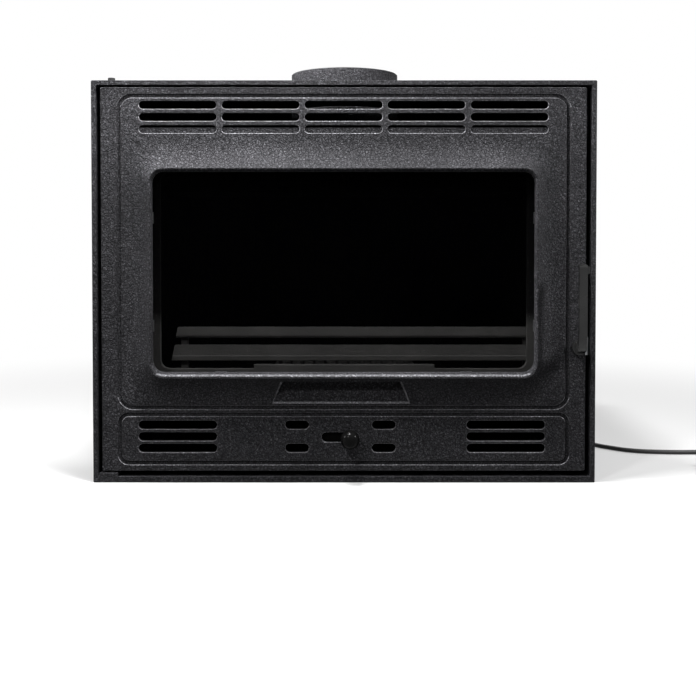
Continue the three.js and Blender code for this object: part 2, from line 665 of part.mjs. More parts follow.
// ---------------------------------------------------------------- handle and latch
const handleBackY = door.frontY - seat;
const gripY = door.frontY - handle.standoff;
function doorHandle() {
  const { z, width, root, boss } = handle;
  const half = handle.thick / 2;
  const elbowZ = z + handle.elbow;
  const rootY = handleBackY - half;
  const crownY = gripY + handle.thick - 1;
  const side = new THREE.Shape();
  side.moveTo(rootY, z - root);
  side.lineTo(gripY + boss, z - root + 2);
  side.quadraticCurveTo(gripY - half, z - 2, gripY - half, elbowZ);
  side.lineTo(gripY - half, handle.top - half - 1);
  side.quadraticCurveTo(gripY - half, handle.top, crownY, handle.top);
  side.lineTo(crownY, handle.top - half - 2);
  side.quadraticCurveTo(gripY + half, handle.top - half - 3, gripY + half, handle.top - 3 * half);
  side.lineTo(gripY + half, elbowZ + 2);
  side.quadraticCurveTo(gripY + half, z + root, gripY + boss + half, z + root - 1);
  side.lineTo(rootY, z + root);
  side.closePath();
  const bar = plateYZ(side, handle.x - width / 2, handle.x + width / 2);
  const base = rod("y", handleCentre, handleBackY - handle.bossDepth, handleBackY, boss, { sides: 28 });
  const noseX = handle.x + width / 2;
  const nose = block(noseX - past, noseX + handle.nose, gripY - half + past, gripY + half,
    handle.top - 3 * half - 1, handle.top - half + 1);
  const bore = rod("y", handleCentre, handleBackY - handle.socket, handleBackY + past, handle.square + seat,
    { sides: 20 });
  return cut(join(bar, base, nose), bore);
}
const shaftEndY = frame.flangeY - 2;
const tongueBackY = tongueY + latch.thick;
const nutY = tongueBackY + seat;
const onShaft = (from, to, radius, sides = 20) => rod("y", handleCentre, from, to, radius, { sides });
add("door_handle", castBlack, doorHandle());
add("handle_shaft", steel, join(
  onShaft(handleBackY - handle.socket + seat, handleBackY + past, handle.square),
  onShaft(handleBackY + seat, tongueY - seat, handle.shaft),
  onShaft(tongueY - past, shaftEndY, nut.thread),
));
add("latch_tongue", steel, cut(
  join(
    onShaft(tongueY, tongueBackY, latch.width / 2 + 1),
    block(handle.x, tongueTipX, tongueY, tongueBackY, handle.z - latch.width / 2, handle.z + latch.width / 2),
  ),
  onShaft(tongueY - past, tongueBackY + past, nut.thread + seat),
));
add("shaft_nut", steel, cut(
  onShaft(nutY, nutY + nut.height, nut.across / Math.sqrt(3), 6),
  onShaft(tongueBackY, shaftEndY + past, nut.thread + seat),
));

// ---------------------------------------------------------------- firebox
const ropeBackY = rope.y + rope.radius;
const frontBackY = casing.frontY + front.thick;
const floorTop = box.floorZ + box.wall;
const boxOuter = box.inner + box.wall;
const collarBase = box.roofZ + box.wall + seat;
const boltSeats = [...Array(flue.bolts).keys()].map((i) => {
  const a = ((i + 0.5) / flue.bolts) * 2 * Math.PI;
  return [flue.boltCircle * Math.cos(a), flue.y + flue.boltCircle * Math.sin(a), collarBase + flue.flangeThick + seat];
});

function fireboxFront() {
  const half = casing.half - casing.sheet - seat;
  const plate = block(-half, half, casing.frontY, frontBackY, front.bottom, front.top);
  const hole = { half: front.throatHalf, bottom: front.sill, top: front.throatTop, radius: front.throatRadius };
  const throatHole = panelOf(hole, casing.frontY - past, frontBackY + past, 3);
  const sillBlock = block(-front.blockHalf, front.blockHalf, casing.frontY, frontBackY, front.sill - past, front.block);
  const collar = frameOf(grown(throat, front.collar / 2), grown(throat, -front.collar / 2),
    ropeBackY + sealGap, casing.frontY + past, 4);
  return join(cut(plate, throatHole), sillBlock, collar);
}
add("firebox_front", castGrey, fireboxFront());

for (const [name, s] of [["firebox_left", -1], ["firebox_right", 1]]) {
  const wall = block(...span(s * box.inner, s * boxOuter), box.frontY, box.backY - seat,
    floorTop + seat, box.roofZ - seat);
  const lugs = baffle.lugY.map((y) =>
    block(...span(s * (box.inner - baffle.lug), s * (box.inner + past)), y, y + baffle.lugDepth,
      baffle.z - baffle.lugHeight, baffle.z - seat),
  );
  add(name, castGrey, join(wall, lugs));
}

function fireboxBack() {
  const plate = block(-boxOuter, boxOuter, box.backY, box.backY + backWall.thick, floorTop + seat, box.roofZ - seat);
  const count = Math.floor((2 * (box.inner - backWall.margin)) / backWall.ribPitch);
  const ribs = [...Array(count + 1).keys()].map((i) => {
    const x = (i - count / 2) * backWall.ribPitch;
    return block(x - backWall.ribWidth / 2, x + backWall.ribWidth / 2, box.backY - backWall.rib, box.backY + past,
      floorTop + backWall.ribEnd, box.roofZ - backWall.ribEnd);
  });
  return join(plate, ribs);
}
add("firebox_back", castGrey, fireboxBack());

const backEndY = box.backY + backWall.thick;
add(
  "firebox_floor",
  castGrey,
  cut(
    block(-boxOuter, boxOuter, box.frontY, backEndY, box.floorZ, floorTop),
    block(-grate.half - seat, grate.half + seat, grate.frontY - seat, grate.backY + seat,
      floorTop - grate.rebate, floorTop + past),
    block(-grate.half + grate.lip, grate.half - grate.lip, grate.frontY + grate.lip, grate.backY - grate.lip,
      box.floorZ - past, floorTop + past),
  ),
);
function fireGrate() {
  const bottom = floorTop - grate.rebate + seat;
  const plate = block(-grate.half, grate.half, grate.frontY, grate.backY, bottom, bottom + grate.thick);
  const count = Math.floor((2 * (grate.half - grate.margin)) / grate.pitch);
  const length = grate.backY - grate.frontY - 3 * grate.lip;
  const slots = [...Array(count + 1).keys()].map((i) => {
    const shape = stadium(0, 0, length, grate.slot);
    const depth = grate.thick + 2 * past;
    const g = new THREE.ExtrudeGeometry(shape, { depth, bevelEnabled: false, curveSegments: 2 });
    const x = (i - count / 2) * grate.pitch;
    return solid(g.rotateZ(Math.PI / 2).translate(x, (grate.frontY + grate.backY) / 2, bottom - past));
  });
  return cut(plate, slots);
}
add("fire_grate", castGrey, fireGrate());

add(
  "firebox_roof",
  castGrey,
  cut(
    block(-boxOuter, boxOuter, box.frontY, backEndY, box.roofZ, box.roofZ + box.wall),
    rod("z", [0, flue.y], box.roofZ - past, box.roofZ + box.wall + past, flue.bore - flue.ledge, { sides: 40 }),
    boltHoles(boltSeats, "z", box.roofZ, box.roofZ + box.wall),
  ),
);
add(
  "baffle_plate",
  castGrey,
  block(baffle.play - box.inner, box.inner - baffle.play, baffle.frontY, box.backY - backWall.rib - seat,
    baffle.z, baffle.z + baffle.thick),
);

function logGuard() {
  const frontFace = guard.y - guard.thick;
  const [u0, u1] = guard.upper;
  const [l0, l1] = guard.lower;
  const upper = new THREE.Shape();
  upper.moveTo(guard.y, u0);
  upper.lineTo(guard.y, u1);
  upper.lineTo(frontFace + guard.chamfer, u1);
  upper.lineTo(frontFace, u0 + guard.round);
  upper.quadraticCurveTo(frontFace, u0, frontFace + guard.round, u0);
  upper.closePath();
  const bellyY = frontFace - guard.belly;
  const shoulderY = frontFace + guard.belly;
  const lower = shapeOf([
    [guard.y, l0], [guard.y, l1], [frontFace + guard.chamfer, l1], [shoulderY, l0 + guard.bellyTop],
    [bellyY, l0 + guard.bellyTop - guard.belly], [bellyY, l0 + guard.belly], [shoulderY, l0],
  ]);
  const slanted = plateXZ(
    shapeOf([
      [guard.left, l0 - past], [guard.right, l0 - past], [guard.right, u1 + past],
      [guard.left + guard.slant, u1 + past],
    ]),
    bellyY - past, guard.y + past,
  );
  const bars = join(plateYZ(upper, guard.left, guard.right, 4), plateYZ(lower, guard.left, guard.right));
  const postX = [guard.left + guard.slant + guard.postInset, guard.right - guard.post - guard.postInset];
  const posts = postX.flatMap((x) => [
    block(x, x + guard.post, guard.y - past, guard.y + guard.postDepth, floorTop + seat, u1 - guard.chamfer),
    block(x, x + guard.post, guard.y - past, guard.y + guard.foot, floorTop + seat, floorTop + guard.footHeight),
  ]);
  return join(bars.intersect(slanted), posts);
}
add("log_guard", castGrey, logGuard());

// ---------------------------------------------------------------- ash box and pan
const mouthY = ropeBackY + sealGap;
const boxHalf = airRope.half + ashBox.sheet / 2;
const boxFloorZ = airRope.bottom - ashBox.sheet / 2;
function ashBoxBody() {
  const t = ashBox.sheet;
  const mouthTop = airRope.top + t / 2;
  const joinY = box.frontY + past;
  const walls = [-1, 1].flatMap((s) => {
    const x = s > 0 ? [boxHalf - t, boxHalf] : [-boxHalf, -boxHalf + t];
    return [
      block(...x, mouthY, joinY, boxFloorZ, mouthTop),
      block(...x, box.frontY, ashBox.backY, casing.sheet + seat, box.floorZ - seat),
    ];
  });
  return join(
    walls,
    block(-boxHalf, boxHalf, mouthY, ashBox.backY, boxFloorZ, boxFloorZ + t),
    block(-boxHalf, boxHalf, ashBox.backY - t, ashBox.backY, boxFloorZ, box.floorZ - seat),
    block(-boxHalf, boxHalf, mouthY, joinY, mouthTop - t, mouthTop),
  );
}
add("ash_box", sheetBlack, ashBoxBody());
function ashPanBody() {
  const { half, frontY: y0, backY: y1, lip, lipHalf, sheet: t } = ashPan;
  const bottom = boxFloorZ + ashBox.sheet + seat;
  const top = bottom + ashPan.height;
  const shell = cut(
    block(-half, half, y0, y1, bottom, top),
    block(t - half, half - t, y0 + t, y1 - t, bottom + t, top + past),
  );
  return join(shell, block(-lipHalf, lipHalf, y0 - lip, y0 + past, top - t, top));
}
add("ash_pan", sheetBlack, ashPanBody());

// ---------------------------------------------------------------- flue collar
function flueCollar() {
  const { bore, radius, rim, ledge, socket, flange } = flue;
  const flangeTop = collarBase + flue.flangeThick;
  const profile = [
    [bore - ledge, collarBase], [flange, collarBase], [flange, flangeTop],
    [radius + flue.fillet / 3, flangeTop], [radius, flangeTop + flue.fillet],
    [radius, rim - flue.chamfer], [radius - flue.chamfer, rim], [bore, rim],
    [bore, rim - socket], [bore - ledge, rim - socket],
  ];
  return cut(turned(profile, 0, flue.y, 44), boltHoles(boltSeats, "z", collarBase, flangeTop));
}
add("flue_collar", castBlack, flueCollar());
boltSeats.forEach((at, i) => {
  add(`collar_bolt_${i + 1}`, steel, hexBolt(at, "z", -1, flue.flangeThick + box.wall + bolt.stub));
});

// ---------------------------------------------------------------- casing
const sheet = casing.sheet;
const wallTop = casing.top - sheet - seat;
const wallBottom = sheet + seat;
const backPlateY = backY - sheet;
for (const [name, s] of [["casing_left", -1], ["casing_right", 1]]) {
  const strip = (x0, x1, y0, y1) => block(...span(s * x0, s * x1), y0, y1, wallBottom, wallTop);
  const lapY = backPlateY - seat;
  const wall = strip(casing.half - sheet, casing.half, casing.frontY, lapY);
  const frontFlange = strip(casing.half - past, casing.half + casing.flange, casing.frontY, casing.frontY + sheet);
  const rearLap = strip(casing.half - sheet - casing.lap, casing.half - past, lapY - sheet, lapY);
  const sideBolts = Object.values(frameBolts).filter(([x]) => s * x > 0);
  const openings = boltHoles(sideBolts, "y", casing.frontY, casing.frontY + sheet);
  if (s > 0) {
    openings.push(rod("x", [0, cord.glandY, cord.glandZ], casing.half - sheet - past, casing.half + past,
      cord.glandHole, { sides: 20 }));
  }
  add(name, sheetBlack, cut(join(wall, frontFlange, rearLap), openings));
}
add(
  "casing_top",
  sheetBlack,
  cut(
    block(-casing.half, casing.half, casing.frontY, backY, casing.top - sheet, casing.top),
    rod("z", [0, flue.y], casing.top - sheet - past, casing.top + past, flue.radius + flue.topGap, { sides: 48 }),
  ),
);
add("casing_base", sheetBlack, block(-casing.half, casing.half, casing.frontY, backY, 0, sheet));
add("casing_back", sheetBlack, block(-casing.half, casing.half, backPlateY, backY, wallBottom, wallTop));
for (const [name, [x, y, z]] of Object.entries(frameBolts)) {
  add(name, steel, hexBolt([x, y - seat, z], "y", 1, frame.flange + sheet + bolt.stub));
}

// ---------------------------------------------------------------- fan
const partitionBackY = fan.partitionY + sheet;
const fanFrontY = partitionBackY + seat;
const fanBackY = fanFrontY + fan.depth;
const motorFrontY = fanBackY - fan.motorDepth;
const guardY = fan.partitionY - seat - fan.guardWire;
const fanCorners = [-1, 1].flatMap((sx) =>
  [-1, 1].map((sz) => [(sx * fan.screwPitch) / 2, guardY, fan.z + (sz * fan.screwPitch) / 2]),
);
add(
  "fan_partition",
  sheetBlack,
  cut(
    block(-casing.half + sheet + seat, casing.half - sheet - seat, fan.partitionY, partitionBackY,
      sheet + seat, box.floorZ - seat),
    rod("y", [0, 0, fan.z], fan.partitionY - past, partitionBackY + past, fan.bore, { sides: 40 }),
  ),
);
function fanFrame() {
  const half = fan.size / 2;
  const square = { x: 0, half, bottom: fan.z - half, top: fan.z + half, radius: fan.corner };
  const onAxis = (from, to, radius, sides) => rod("y", [0, 0, fan.z], from, to, radius, { sides });
  const body = cut(
    panelOf(square, fanFrontY, fanBackY, 3),
    onAxis(fanFrontY - past, fanBackY + past, fan.bore, 40),
  );
  const motor = onAxis(motorFrontY, fanBackY, fan.motor, 28);
  const arm = (halfX, halfZ) =>
    block(-halfX, halfX, fanBackY - fan.strutDepth, fanBackY, fan.z - halfZ, fan.z + halfZ);
  const arms = [arm(fan.bore + past, fan.strut / 2), arm(fan.strut / 2, fan.bore + past)];
  const bearing = onAxis(motorFrontY - past, fanBackY - fan.capThick, fan.axle + running, 20);
  return cut(join(body, motor, arms), bearing);
}
add("fan_frame", fanBlack, fanFrame());

const impellerFrontY = fanFrontY + fan.inset;
function fanImpeller() {
  const hubBackY = motorFrontY - past;
  const hub = rod("y", [0, 0, 0], impellerFrontY, hubBackY, fan.hub, { sides: 28 });
  const axle = rod("y", [0, 0, 0], hubBackY - past, fanBackY - fan.capThick - past, fan.axle, { sides: 20 });
  const middleY = (impellerFrontY + hubBackY) / 2;
  const root = fan.hub - fan.bladeThick;
  const stations = [0, 0.32, 0.65, 1].map((t) => root + (fan.bore - fan.tipGap - root) * t);
  // a blade's section, in chords and in thicknesses
  const section = [[-0.5, -0.5], [0, -0.9], [0.5, -0.5], [0.5, 0.5], [0, 1.3], [-0.5, 0.5]];
  const blades = [...Array(fan.blades).keys()].map((i) => {
    const spin = (i / fan.blades) * 2 * Math.PI;
    return skin(
      stations.map((r, k) => {
        const pitch = THREE.MathUtils.degToRad(fan.rootPitch - fan.untwist * k);
        const chord = fan.chord + fan.bladeThick * k;
        return section.map(([c, t]) => {
          const along = c * chord;
          const across = t * fan.bladeThick;
          const p = new THREE.Vector3(
            along * Math.cos(pitch) - across * Math.sin(pitch),
            middleY + along * Math.sin(pitch) + across * Math.cos(pitch),
            r,
          );
          return p.applyAxisAngle(new THREE.Vector3(0, 1, 0), spin);
        });
      }),
    );
  });
  return join(hub, axle, blades);
}
const impeller = add("fan_impeller", fanBlack, fanImpeller());
impeller.position.z = fan.z;

function fanGuard() {
  const w = fan.guardWire;
  const rings = [0.96, 0.7, 0.43].map((share) =>
    cut(
      rod("y", [0, 0, fan.z], guardY, guardY + w, fan.bore * share + w / 2, { sides: 24 }),
      rod("y", [0, 0, fan.z], guardY - past, guardY + w + past, fan.bore * share - w / 2, { sides: 24 }),
    ),
  );
  const reach = Math.hypot(fan.screwPitch, fan.screwPitch) / 2;
  const arm = (angle) => {
    const g = new THREE.BoxGeometry(2 * reach, w, 2 * w).rotateY(angle).translate(0, guardY + w / 2, fan.z);
    return solid(g);
  };
  const eyes = fanCorners.map((c) => rod("y", c, guardY, guardY + w, fan.guardEye, { sides: 10 }));
  return join(rings, arm(Math.PI / 4), arm(-Math.PI / 4), eyes);
}
add("fan_guard", steel, fanGuard());

// ---------------------------------------------------------------- mains lead
const gland = { thread: 7.6, inner: 10.5, outer: 11, nut: 4.5, sleeve: 7, tip: 4.8, stub: 5 };
const glandEnd = casing.half + cord.glandLength;
const insideX = casing.half - sheet;
function cordGland() {
  const along = (from, to, radius, sides, endRadius = radius) =>
    rod("x", [0, cord.glandY, cord.glandZ], from, to, radius, { endRadius, sides });
  return join(
    along(insideX - gland.stub, casing.half + 2 * past, gland.thread, 20),
    along(insideX - gland.nut, insideX - seat, gland.inner, 6),
    along(casing.half + seat, casing.half + gland.nut, gland.outer, 6),
    along(casing.half + gland.nut - past, glandEnd, gland.sleeve, 20, gland.tip),
  );
}
add("cord_gland", cordBlack, cordGland());
const innerLeadStart = new THREE.Vector3(insideX - gland.stub - seat, cord.glandY, cord.glandZ);
const innerLeadEnd = new THREE.Vector3(fan.size / 2 + seat, cord.glandY, cord.glandZ);
add("fan_lead", cordBlack, tube([innerLeadStart, innerLeadEnd], cord.innerRadius, cord.sides));

const coilZ = cord.radius + coil.lift;
const coilOuter = coil.inner + coil.pitch * coil.turns;
const coilLoops = 2 * coil.turns + coil.half;
function coilPoint(loop) {
  const inward = Math.min(loop, coil.turns);
  const climb = Math.min(Math.max(loop - coil.turns, 0), coil.half) / coil.half;
  const outward = Math.max(loop - coil.turns - coil.half, 0);
  const r = coilOuter - coil.pitch * (inward - outward);
  const angle = Math.PI / 2 - loop * 2 * Math.PI;
  return new THREE.Vector3(coil.x + r * Math.cos(angle), coil.y + r * Math.sin(angle), coilZ + coil.layer * climb);
}
const plugZ = plug.face + seat;
const straight = 2 * cord.radius;
const coilStart = coilPoint(0).add(new THREE.Vector3(-straight, 0, 0));
const tailTurn = coilPoint(coilLoops);
const tailEnd = new THREE.Vector3(tailTurn.x - coil.tail, tailTurn.y, plugZ);
const coilPath = [
  coilStart,
  ...[...Array(Math.round(coilLoops * coil.steps) + 1).keys()].map((i) => coilPoint(i / coil.steps)),
  new THREE.Vector3(tailTurn.x - coil.tail / 4, tailTurn.y, tailTurn.z + past),
  new THREE.Vector3(tailEnd.x + straight, tailEnd.y, plugZ),
  tailEnd,
];

// least gap between stretches of the coil more than a third of a turn apart, on the path's own points
function leastGap(path, radius) {
  let least = Infinity;
  const apart = Math.round(coil.steps / 3);
  const fine = path.slice(0, -1).flatMap((p, i) => [0, 0.25, 0.5, 0.75].map((t) => p.clone().lerp(path[i + 1], t)));
  for (let i = 0; i < fine.length; i++) {
    for (let j = i + apart * 4; j < fine.length; j++) least = Math.min(least, fine[i].distanceTo(fine[j]));
  }
  return least - 2 * radius;
}
console.log(`least gap in the cord's coil: ${leastGap(coilPath, cord.radius).toFixed(2)} mm`);

const leadStart = new THREE.Vector3(glandEnd + seat, cord.glandY, cord.glandZ);
const leadEnd = coilStart.clone().add(new THREE.Vector3(-seat, 0, 0));
const alongX = new THREE.Vector3(straight, 0, 0);
const leadRoute = [
  [24, 159, 24], [39, 138, 11], [48, 104, 4.4], [55, 66, 3.6], [64, 27, 3.5], [85, 2, 3.5],
  [113, -19, 3.5], [157, -29, 3.5], [217, -31, 3.8],
].map(([x, y, z]) => new THREE.Vector3(glandEnd + x, y, z));
const leadCurve = new THREE.CatmullRomCurve3(
  [leadStart.clone().add(alongX), ...leadRoute, leadEnd.clone().sub(alongX)], false, "centripetal",
);
const leadSteps = Math.round(leadCurve.getLength() / (4.8 * cord.radius));
const leadPath = [leadStart, ...leadCurve.getSpacedPoints(leadSteps), leadEnd];
add("power_cord", cordBlack, tube(leadPath, cord.radius, cord.sides));
const lengthOf = (path) => path.slice(1).reduce((sum, p, i) => sum + p.distanceTo(path[i]), 0);
console.log(`length of the mains lead without its plug: ${(lengthOf(leadPath) + lengthOf(coilPath)).toFixed(0)} mm`);
add("cord_coil", cordBlack, tube(coilPath, cord.radius, coil.sides));

// The tie is a flat band round the bundle where it lies nearest the insert.
const tie = { band: 1.4, gapAcross: 0.9, gapUp: 0.4, width: 10 };
function cordTie() {
  const outerX = coil.x - coilPoint(0.75).distanceTo(new THREE.Vector3(coil.x, coil.y, coilZ)) - cord.radius;
  const innerX = coil.x - coilPoint(1.75).distanceTo(new THREE.Vector3(coil.x, coil.y, coilZ)) + cord.radius;
  const x0 = outerX - tie.gapAcross;
  const x1 = innerX + tie.gapAcross;
  const z0 = coilZ - cord.radius - tie.gapUp;
  const z1 = coilZ + coil.layer + cord.radius + tie.gapUp;
  const hole = { x: (x0 + x1) / 2, half: (x1 - x0) / 2, bottom: z0, top: z1, radius: 2 };
  return frameOf(grown(hole, tie.band), hole, coil.y - tie.width / 2, coil.y + tie.width / 2, 3);
}
add("cord_tie", cordBlack, cordTie());

function powerPlug() {
  const at = [0, tailEnd.y, plugZ];
  const reliefX = tailEnd.x - seat;
  const shoulderX = reliefX - plug.relief;
  const faceX = shoulderX - plug.length;
  const relief = rod("x", at, shoulderX, reliefX, plug.reliefRadius, { endRadius: plug.reliefTip, sides: 20 });
  const shoulder = rod("x", at, shoulderX - plug.shoulder, shoulderX + past, plug.face - plug.taper,
    { endRadius: plug.reliefRadius + past, sides: 28 });
  const face = rod("x", at, faceX, shoulderX - plug.shoulder + past, plug.face,
    { endRadius: plug.face - plug.taper, sides: 28 });
  const pins = [-1, 1].map((s) =>
    rod("x", [0, at[1] + (s * plug.pinPitch) / 2, at[2]], faceX - plug.pinLength, faceX + plug.taper, plug.pin,
      { sides: 14 }),
  );
  return join(relief, shoulder, face, pins);
}
add("power_plug", cordBlack, powerPlug());

export default root;
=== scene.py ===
"""Looks of the fireplace insert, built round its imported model.

Blender works in metres. The lengths named below are millimetres, as in the model's source, and are
multiplied by MM where a mesh, a curve or a bevel is made. The camera, the lamps and everything in a
material are in metres. X points to the right, Y to the back and Z up.
"""

import json
import math

import bmesh
import bpy
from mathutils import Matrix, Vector

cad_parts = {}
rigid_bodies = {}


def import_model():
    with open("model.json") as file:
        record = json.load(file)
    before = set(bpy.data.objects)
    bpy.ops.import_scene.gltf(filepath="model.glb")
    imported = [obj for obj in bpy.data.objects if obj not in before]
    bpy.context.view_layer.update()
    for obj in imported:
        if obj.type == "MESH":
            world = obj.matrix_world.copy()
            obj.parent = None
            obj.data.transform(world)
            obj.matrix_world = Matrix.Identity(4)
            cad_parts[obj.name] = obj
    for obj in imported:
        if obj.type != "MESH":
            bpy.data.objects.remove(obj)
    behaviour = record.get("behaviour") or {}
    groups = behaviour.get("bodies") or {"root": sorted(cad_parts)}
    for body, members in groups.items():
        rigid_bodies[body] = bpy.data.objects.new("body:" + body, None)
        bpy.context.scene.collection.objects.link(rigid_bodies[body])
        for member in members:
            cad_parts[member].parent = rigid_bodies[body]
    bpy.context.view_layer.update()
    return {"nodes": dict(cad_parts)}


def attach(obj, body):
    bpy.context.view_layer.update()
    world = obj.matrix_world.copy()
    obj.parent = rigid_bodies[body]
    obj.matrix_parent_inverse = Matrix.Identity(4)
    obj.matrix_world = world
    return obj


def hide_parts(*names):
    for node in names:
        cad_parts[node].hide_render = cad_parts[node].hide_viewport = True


MM = 0.001
for default in list(bpy.data.objects):
    bpy.data.objects.remove(default)
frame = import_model()
nodes = frame["nodes"]
scene = bpy.context.scene

# ---------------------------------------------------------------- dimensions, as in the model
LAP = 1  # how far a shape runs into the one it joins, and a tool past what it cuts
HAIR = 0.02  # keeps a face of a tool off the plane of the face it cuts
GAP = 0.3  # between pieces that lie against each other

DOOR = {
    "left": -338.0, "right": 336.7, "bottom": 16.1, "top": 550.1,
    "front": -208, "plate": -202, "back": -188,  # faces of the plate, and the edge's back
    "wall": 6, "corner": 3, "rim": 1.3, "lap": 3,
}
DOOR["middle"] = (DOOR["left"] + DOOR["right"]) / 2
DOOR["half"] = (DOOR["right"] - DOOR["left"]) / 2
HOOD = {
    "rise": 20, "power": 2.2, "wall": 5, "crest": 0.2, "bevel": 6, "inner_round": 0.6,
    "side": 36, "above": 43, "below": 40.5, "foot_radius": 52,  # the foot, against the lip
    "steps": 26, "hollow_steps": 12,
}
LIP_Y = DOOR["front"] - HOOD["rise"]
GLASS = {"seat": -218, "front": -216, "back": -212, "overlap": 7.5, "pocket": 1.2, "tape": 6.5}
GROOVE = {"width": 5.6, "depth": 2.6, "rim": 0.6}
SLOT_RIM = 1.1
TOP_GRILLE = {
    "pitch": 115.02, "length": 108.02, "height": 11.2, "rows": (525.6, 508.9, 492.2), "columns": 5,
}
BACKING = {"half": 292.35, "front": 2.2, "back": 6, "bottom": 480.5, "top": 494.5}
SIDE_GRILLE = {"shift": -2.4, "x": 228.95, "length": 110, "height": 12.2, "rows": (80.3, 64, 47.8)}
AIR_PORT = {"x": (-65.5, 55.5), "length": 33.5, "height": 12.2, "rows": (80.3, 47.8)}
CONTROL_SLOT = {"x": -5.0, "z": 63, "length": 53.2, "height": 14}
PLAQUE = {
    "x": -4, "bottom": 109.7, "top": 142.8, "half_bottom": 97, "half_top": 84,
    "floor": 2, "draft": 3, "brim": 0.3, "wall": 6,
}
HINGE = {"x": -324.0, "y": -198, "bore": 4.3, "boss": 9, "length": 30, "engage": 24}
HANDLE = {"x": 326.0, "z": 189.5, "bore": 5.3, "boss": 10, "inset": 0.2}
ROPE = {
    "radius": 4.5, "y": -192.5, "channel": 5, "rib": 3, "clear": 0.05,
    "strands": 3, "lay": 14, "dip": 0.14, "round": 0.7, "step": 2.2, "sides": 18,
}
CLIP = {
    "x": 276.15, "z": 75, "end_x": 170.85, "end_z": 5.4, "boss": 3.8, "boss_y": -207, "sides": 20,
}
KNOB = {
    "x": 8.5, "z": 63.2, "back": -209.5, "middle": -225.2, "front": -238,
    "radius": 13.2, "dome": 12.8, "under": 7.5, "bore": 5.3, "bore_y": -220.3,
}
CORD_RADIUS = 3.5
FAN_WIRE_RADIUS = 2.9
COIL = {
    "x": 621.6, "y": -78, "z": 5.4, "inner": 30, "pitch": 8.6, "layer": 8.2,
    "turns": 2, "half": 0.5, "steps": 24,
}
PLUG_Z = 18.8

CORNER_STEPS = 16
EDGE_STEPS = 6
FRAME_STEPS = 8
RIM_STEPS = 4
LEAST_CORNER = 0.3
TIP = 0.05  # radius at the middle of a turned piece, which leaves no point to shade
SMALL_ROUND = 0.35
BEVEL_STEPS, BEVEL_FROM, SMOOTH_BELOW = 3, math.radians(35), math.radians(32)
WELD_REACH = 2e-6

# ---------------------------------------------------------------- camera, which looks down a little
TILT = 1.5
camera = bpy.data.objects.new("camera", bpy.data.cameras.new("camera"))
scene.collection.objects.link(camera)
scene.camera = camera
camera.data.lens = 51.72
camera.data.sensor_width = 36
camera.data.shift_y = -0.1248
camera.location = (0.0055, -1.5975, 0.3455)
camera.rotation_euler = (math.radians(90 - TILT), 0, 0)


# ---------------------------------------------------------------- mesh helpers
def link(name, data):
    obj = bpy.data.objects.new(name, data)
    scene.collection.objects.link(obj)
    return obj


def mesh_from(name, points, faces):
    """A mesh object from points in millimetres."""
    data = bpy.data.meshes.new(name)
    data.from_pydata([Vector(p) * MM for p in points], [], faces)
    data.update()
    return link(name, data)


def face_out(obj):
    """Turns every face of a closed mesh outwards."""
    bm = bmesh.new()
    bm.from_mesh(obj.data)
    bmesh.ops.recalc_face_normals(bm, faces=bm.faces)
    if bm.calc_volume(signed=True) < 0:
        bmesh.ops.reverse_faces(bm, faces=bm.faces)
    bm.to_mesh(obj.data)
    bm.free()
    return obj


def rect(half, bottom, top, radius, x=DOOR["middle"]):
    return {"half": half, "bottom": bottom, "top": top, "radius": radius, "x": x}


def grown(r, by):
    return {"half": r["half"] + by, "bottom": r["bottom"] - by, "top": r["top"] + by,
            "radius": max(r["radius"] + by, LEAST_CORNER), "x": r["x"]}


def between(a, b, t):
    """The rectangle a share t of the way from a to b."""
    return {key: a[key] + (b[key] - a[key]) * t for key in a}


def outline(r, steps):
    """Points (x, z) of a rectangle with round corners, each of so many steps."""
    middle, tall = (r["bottom"] + r["top"]) / 2, (r["top"] - r["bottom"]) / 2
    points = []
    for i, (sx, sz) in enumerate(((1, -1), (1, 1), (-1, 1), (-1, -1))):
        for k in range(steps + 1):
            angle = -math.pi / 2 + (i + k / steps) * math.pi / 2
            points.append((
                r["x"] + sx * (r["half"] - r["radius"]) + r["radius"] * math.cos(angle),
                middle + sz * (tall - r["radius"]) + r["radius"] * math.sin(angle)))
    return points


def stadium(x, z, length, height, grow=0.0, steps=8):
    """Points (x, z) of a slot with round ends."""
    r = height / 2 + grow
    reach = length / 2 - height / 2
    points = []
    for centre, start in ((reach, -math.pi / 2), (-reach, math.pi / 2)):
        for k in range(steps + 1):
            angle = start + math.pi * k / steps
            points.append((x + centre + r * math.cos(angle), z + r * math.sin(angle)))
    return points


def round_over(radius):
    """Pairs (inset, depth) down a rounded rim, from its outer edge to its wall."""
    turns = [k / RIM_STEPS * math.pi / 2 for k in range(RIM_STEPS + 1)]
    return [(radius * (1 - math.sin(t)), radius * (1 - math.cos(t))) for t in turns]


def loft(name, rings, closed=False):
    """Skins rings of (x, z) points, each at its own y; closed joins the last ring to the first."""
    n = len(rings[0][0])
    points = [(x, y, z) for ring, y in rings for x, z in ring]
    faces = []
    for r in range(len(rings) if closed else len(rings) - 1):
        a, b = r * n, ((r + 1) % len(rings)) * n
        faces += [(a + k, a + (k + 1) % n, b + (k + 1) % n, b + k) for k in range(n)]
    if not closed:
        last = (len(rings) - 1) * n
        faces += [tuple(range(n - 1, -1, -1)), tuple(range(last, last + n))]
    return face_out(mesh_from(name, points, faces))


def frame_solid(name, outer, inner, y0, y1, steps=FRAME_STEPS):
    """A frame between two outlines, closed all round."""
    sections = ((outer, y0), (outer, y1), (inner, y1), (inner, y0))
    return loft(name, [(outline(r, steps), y) for r, y in sections], closed=True)


def box(name, x0, x1, y0, y1, z0, z1):
    return loft(name, [([(x0, z0), (x1, z0), (x1, z1), (x0, z1)], y) for y in (y0, y1)])


def at(axis, u, v, along):
    """The point (u, v) across the y or the z axis, so far along it."""
    return (u, v, along) if axis == "z" else (u, along, v)


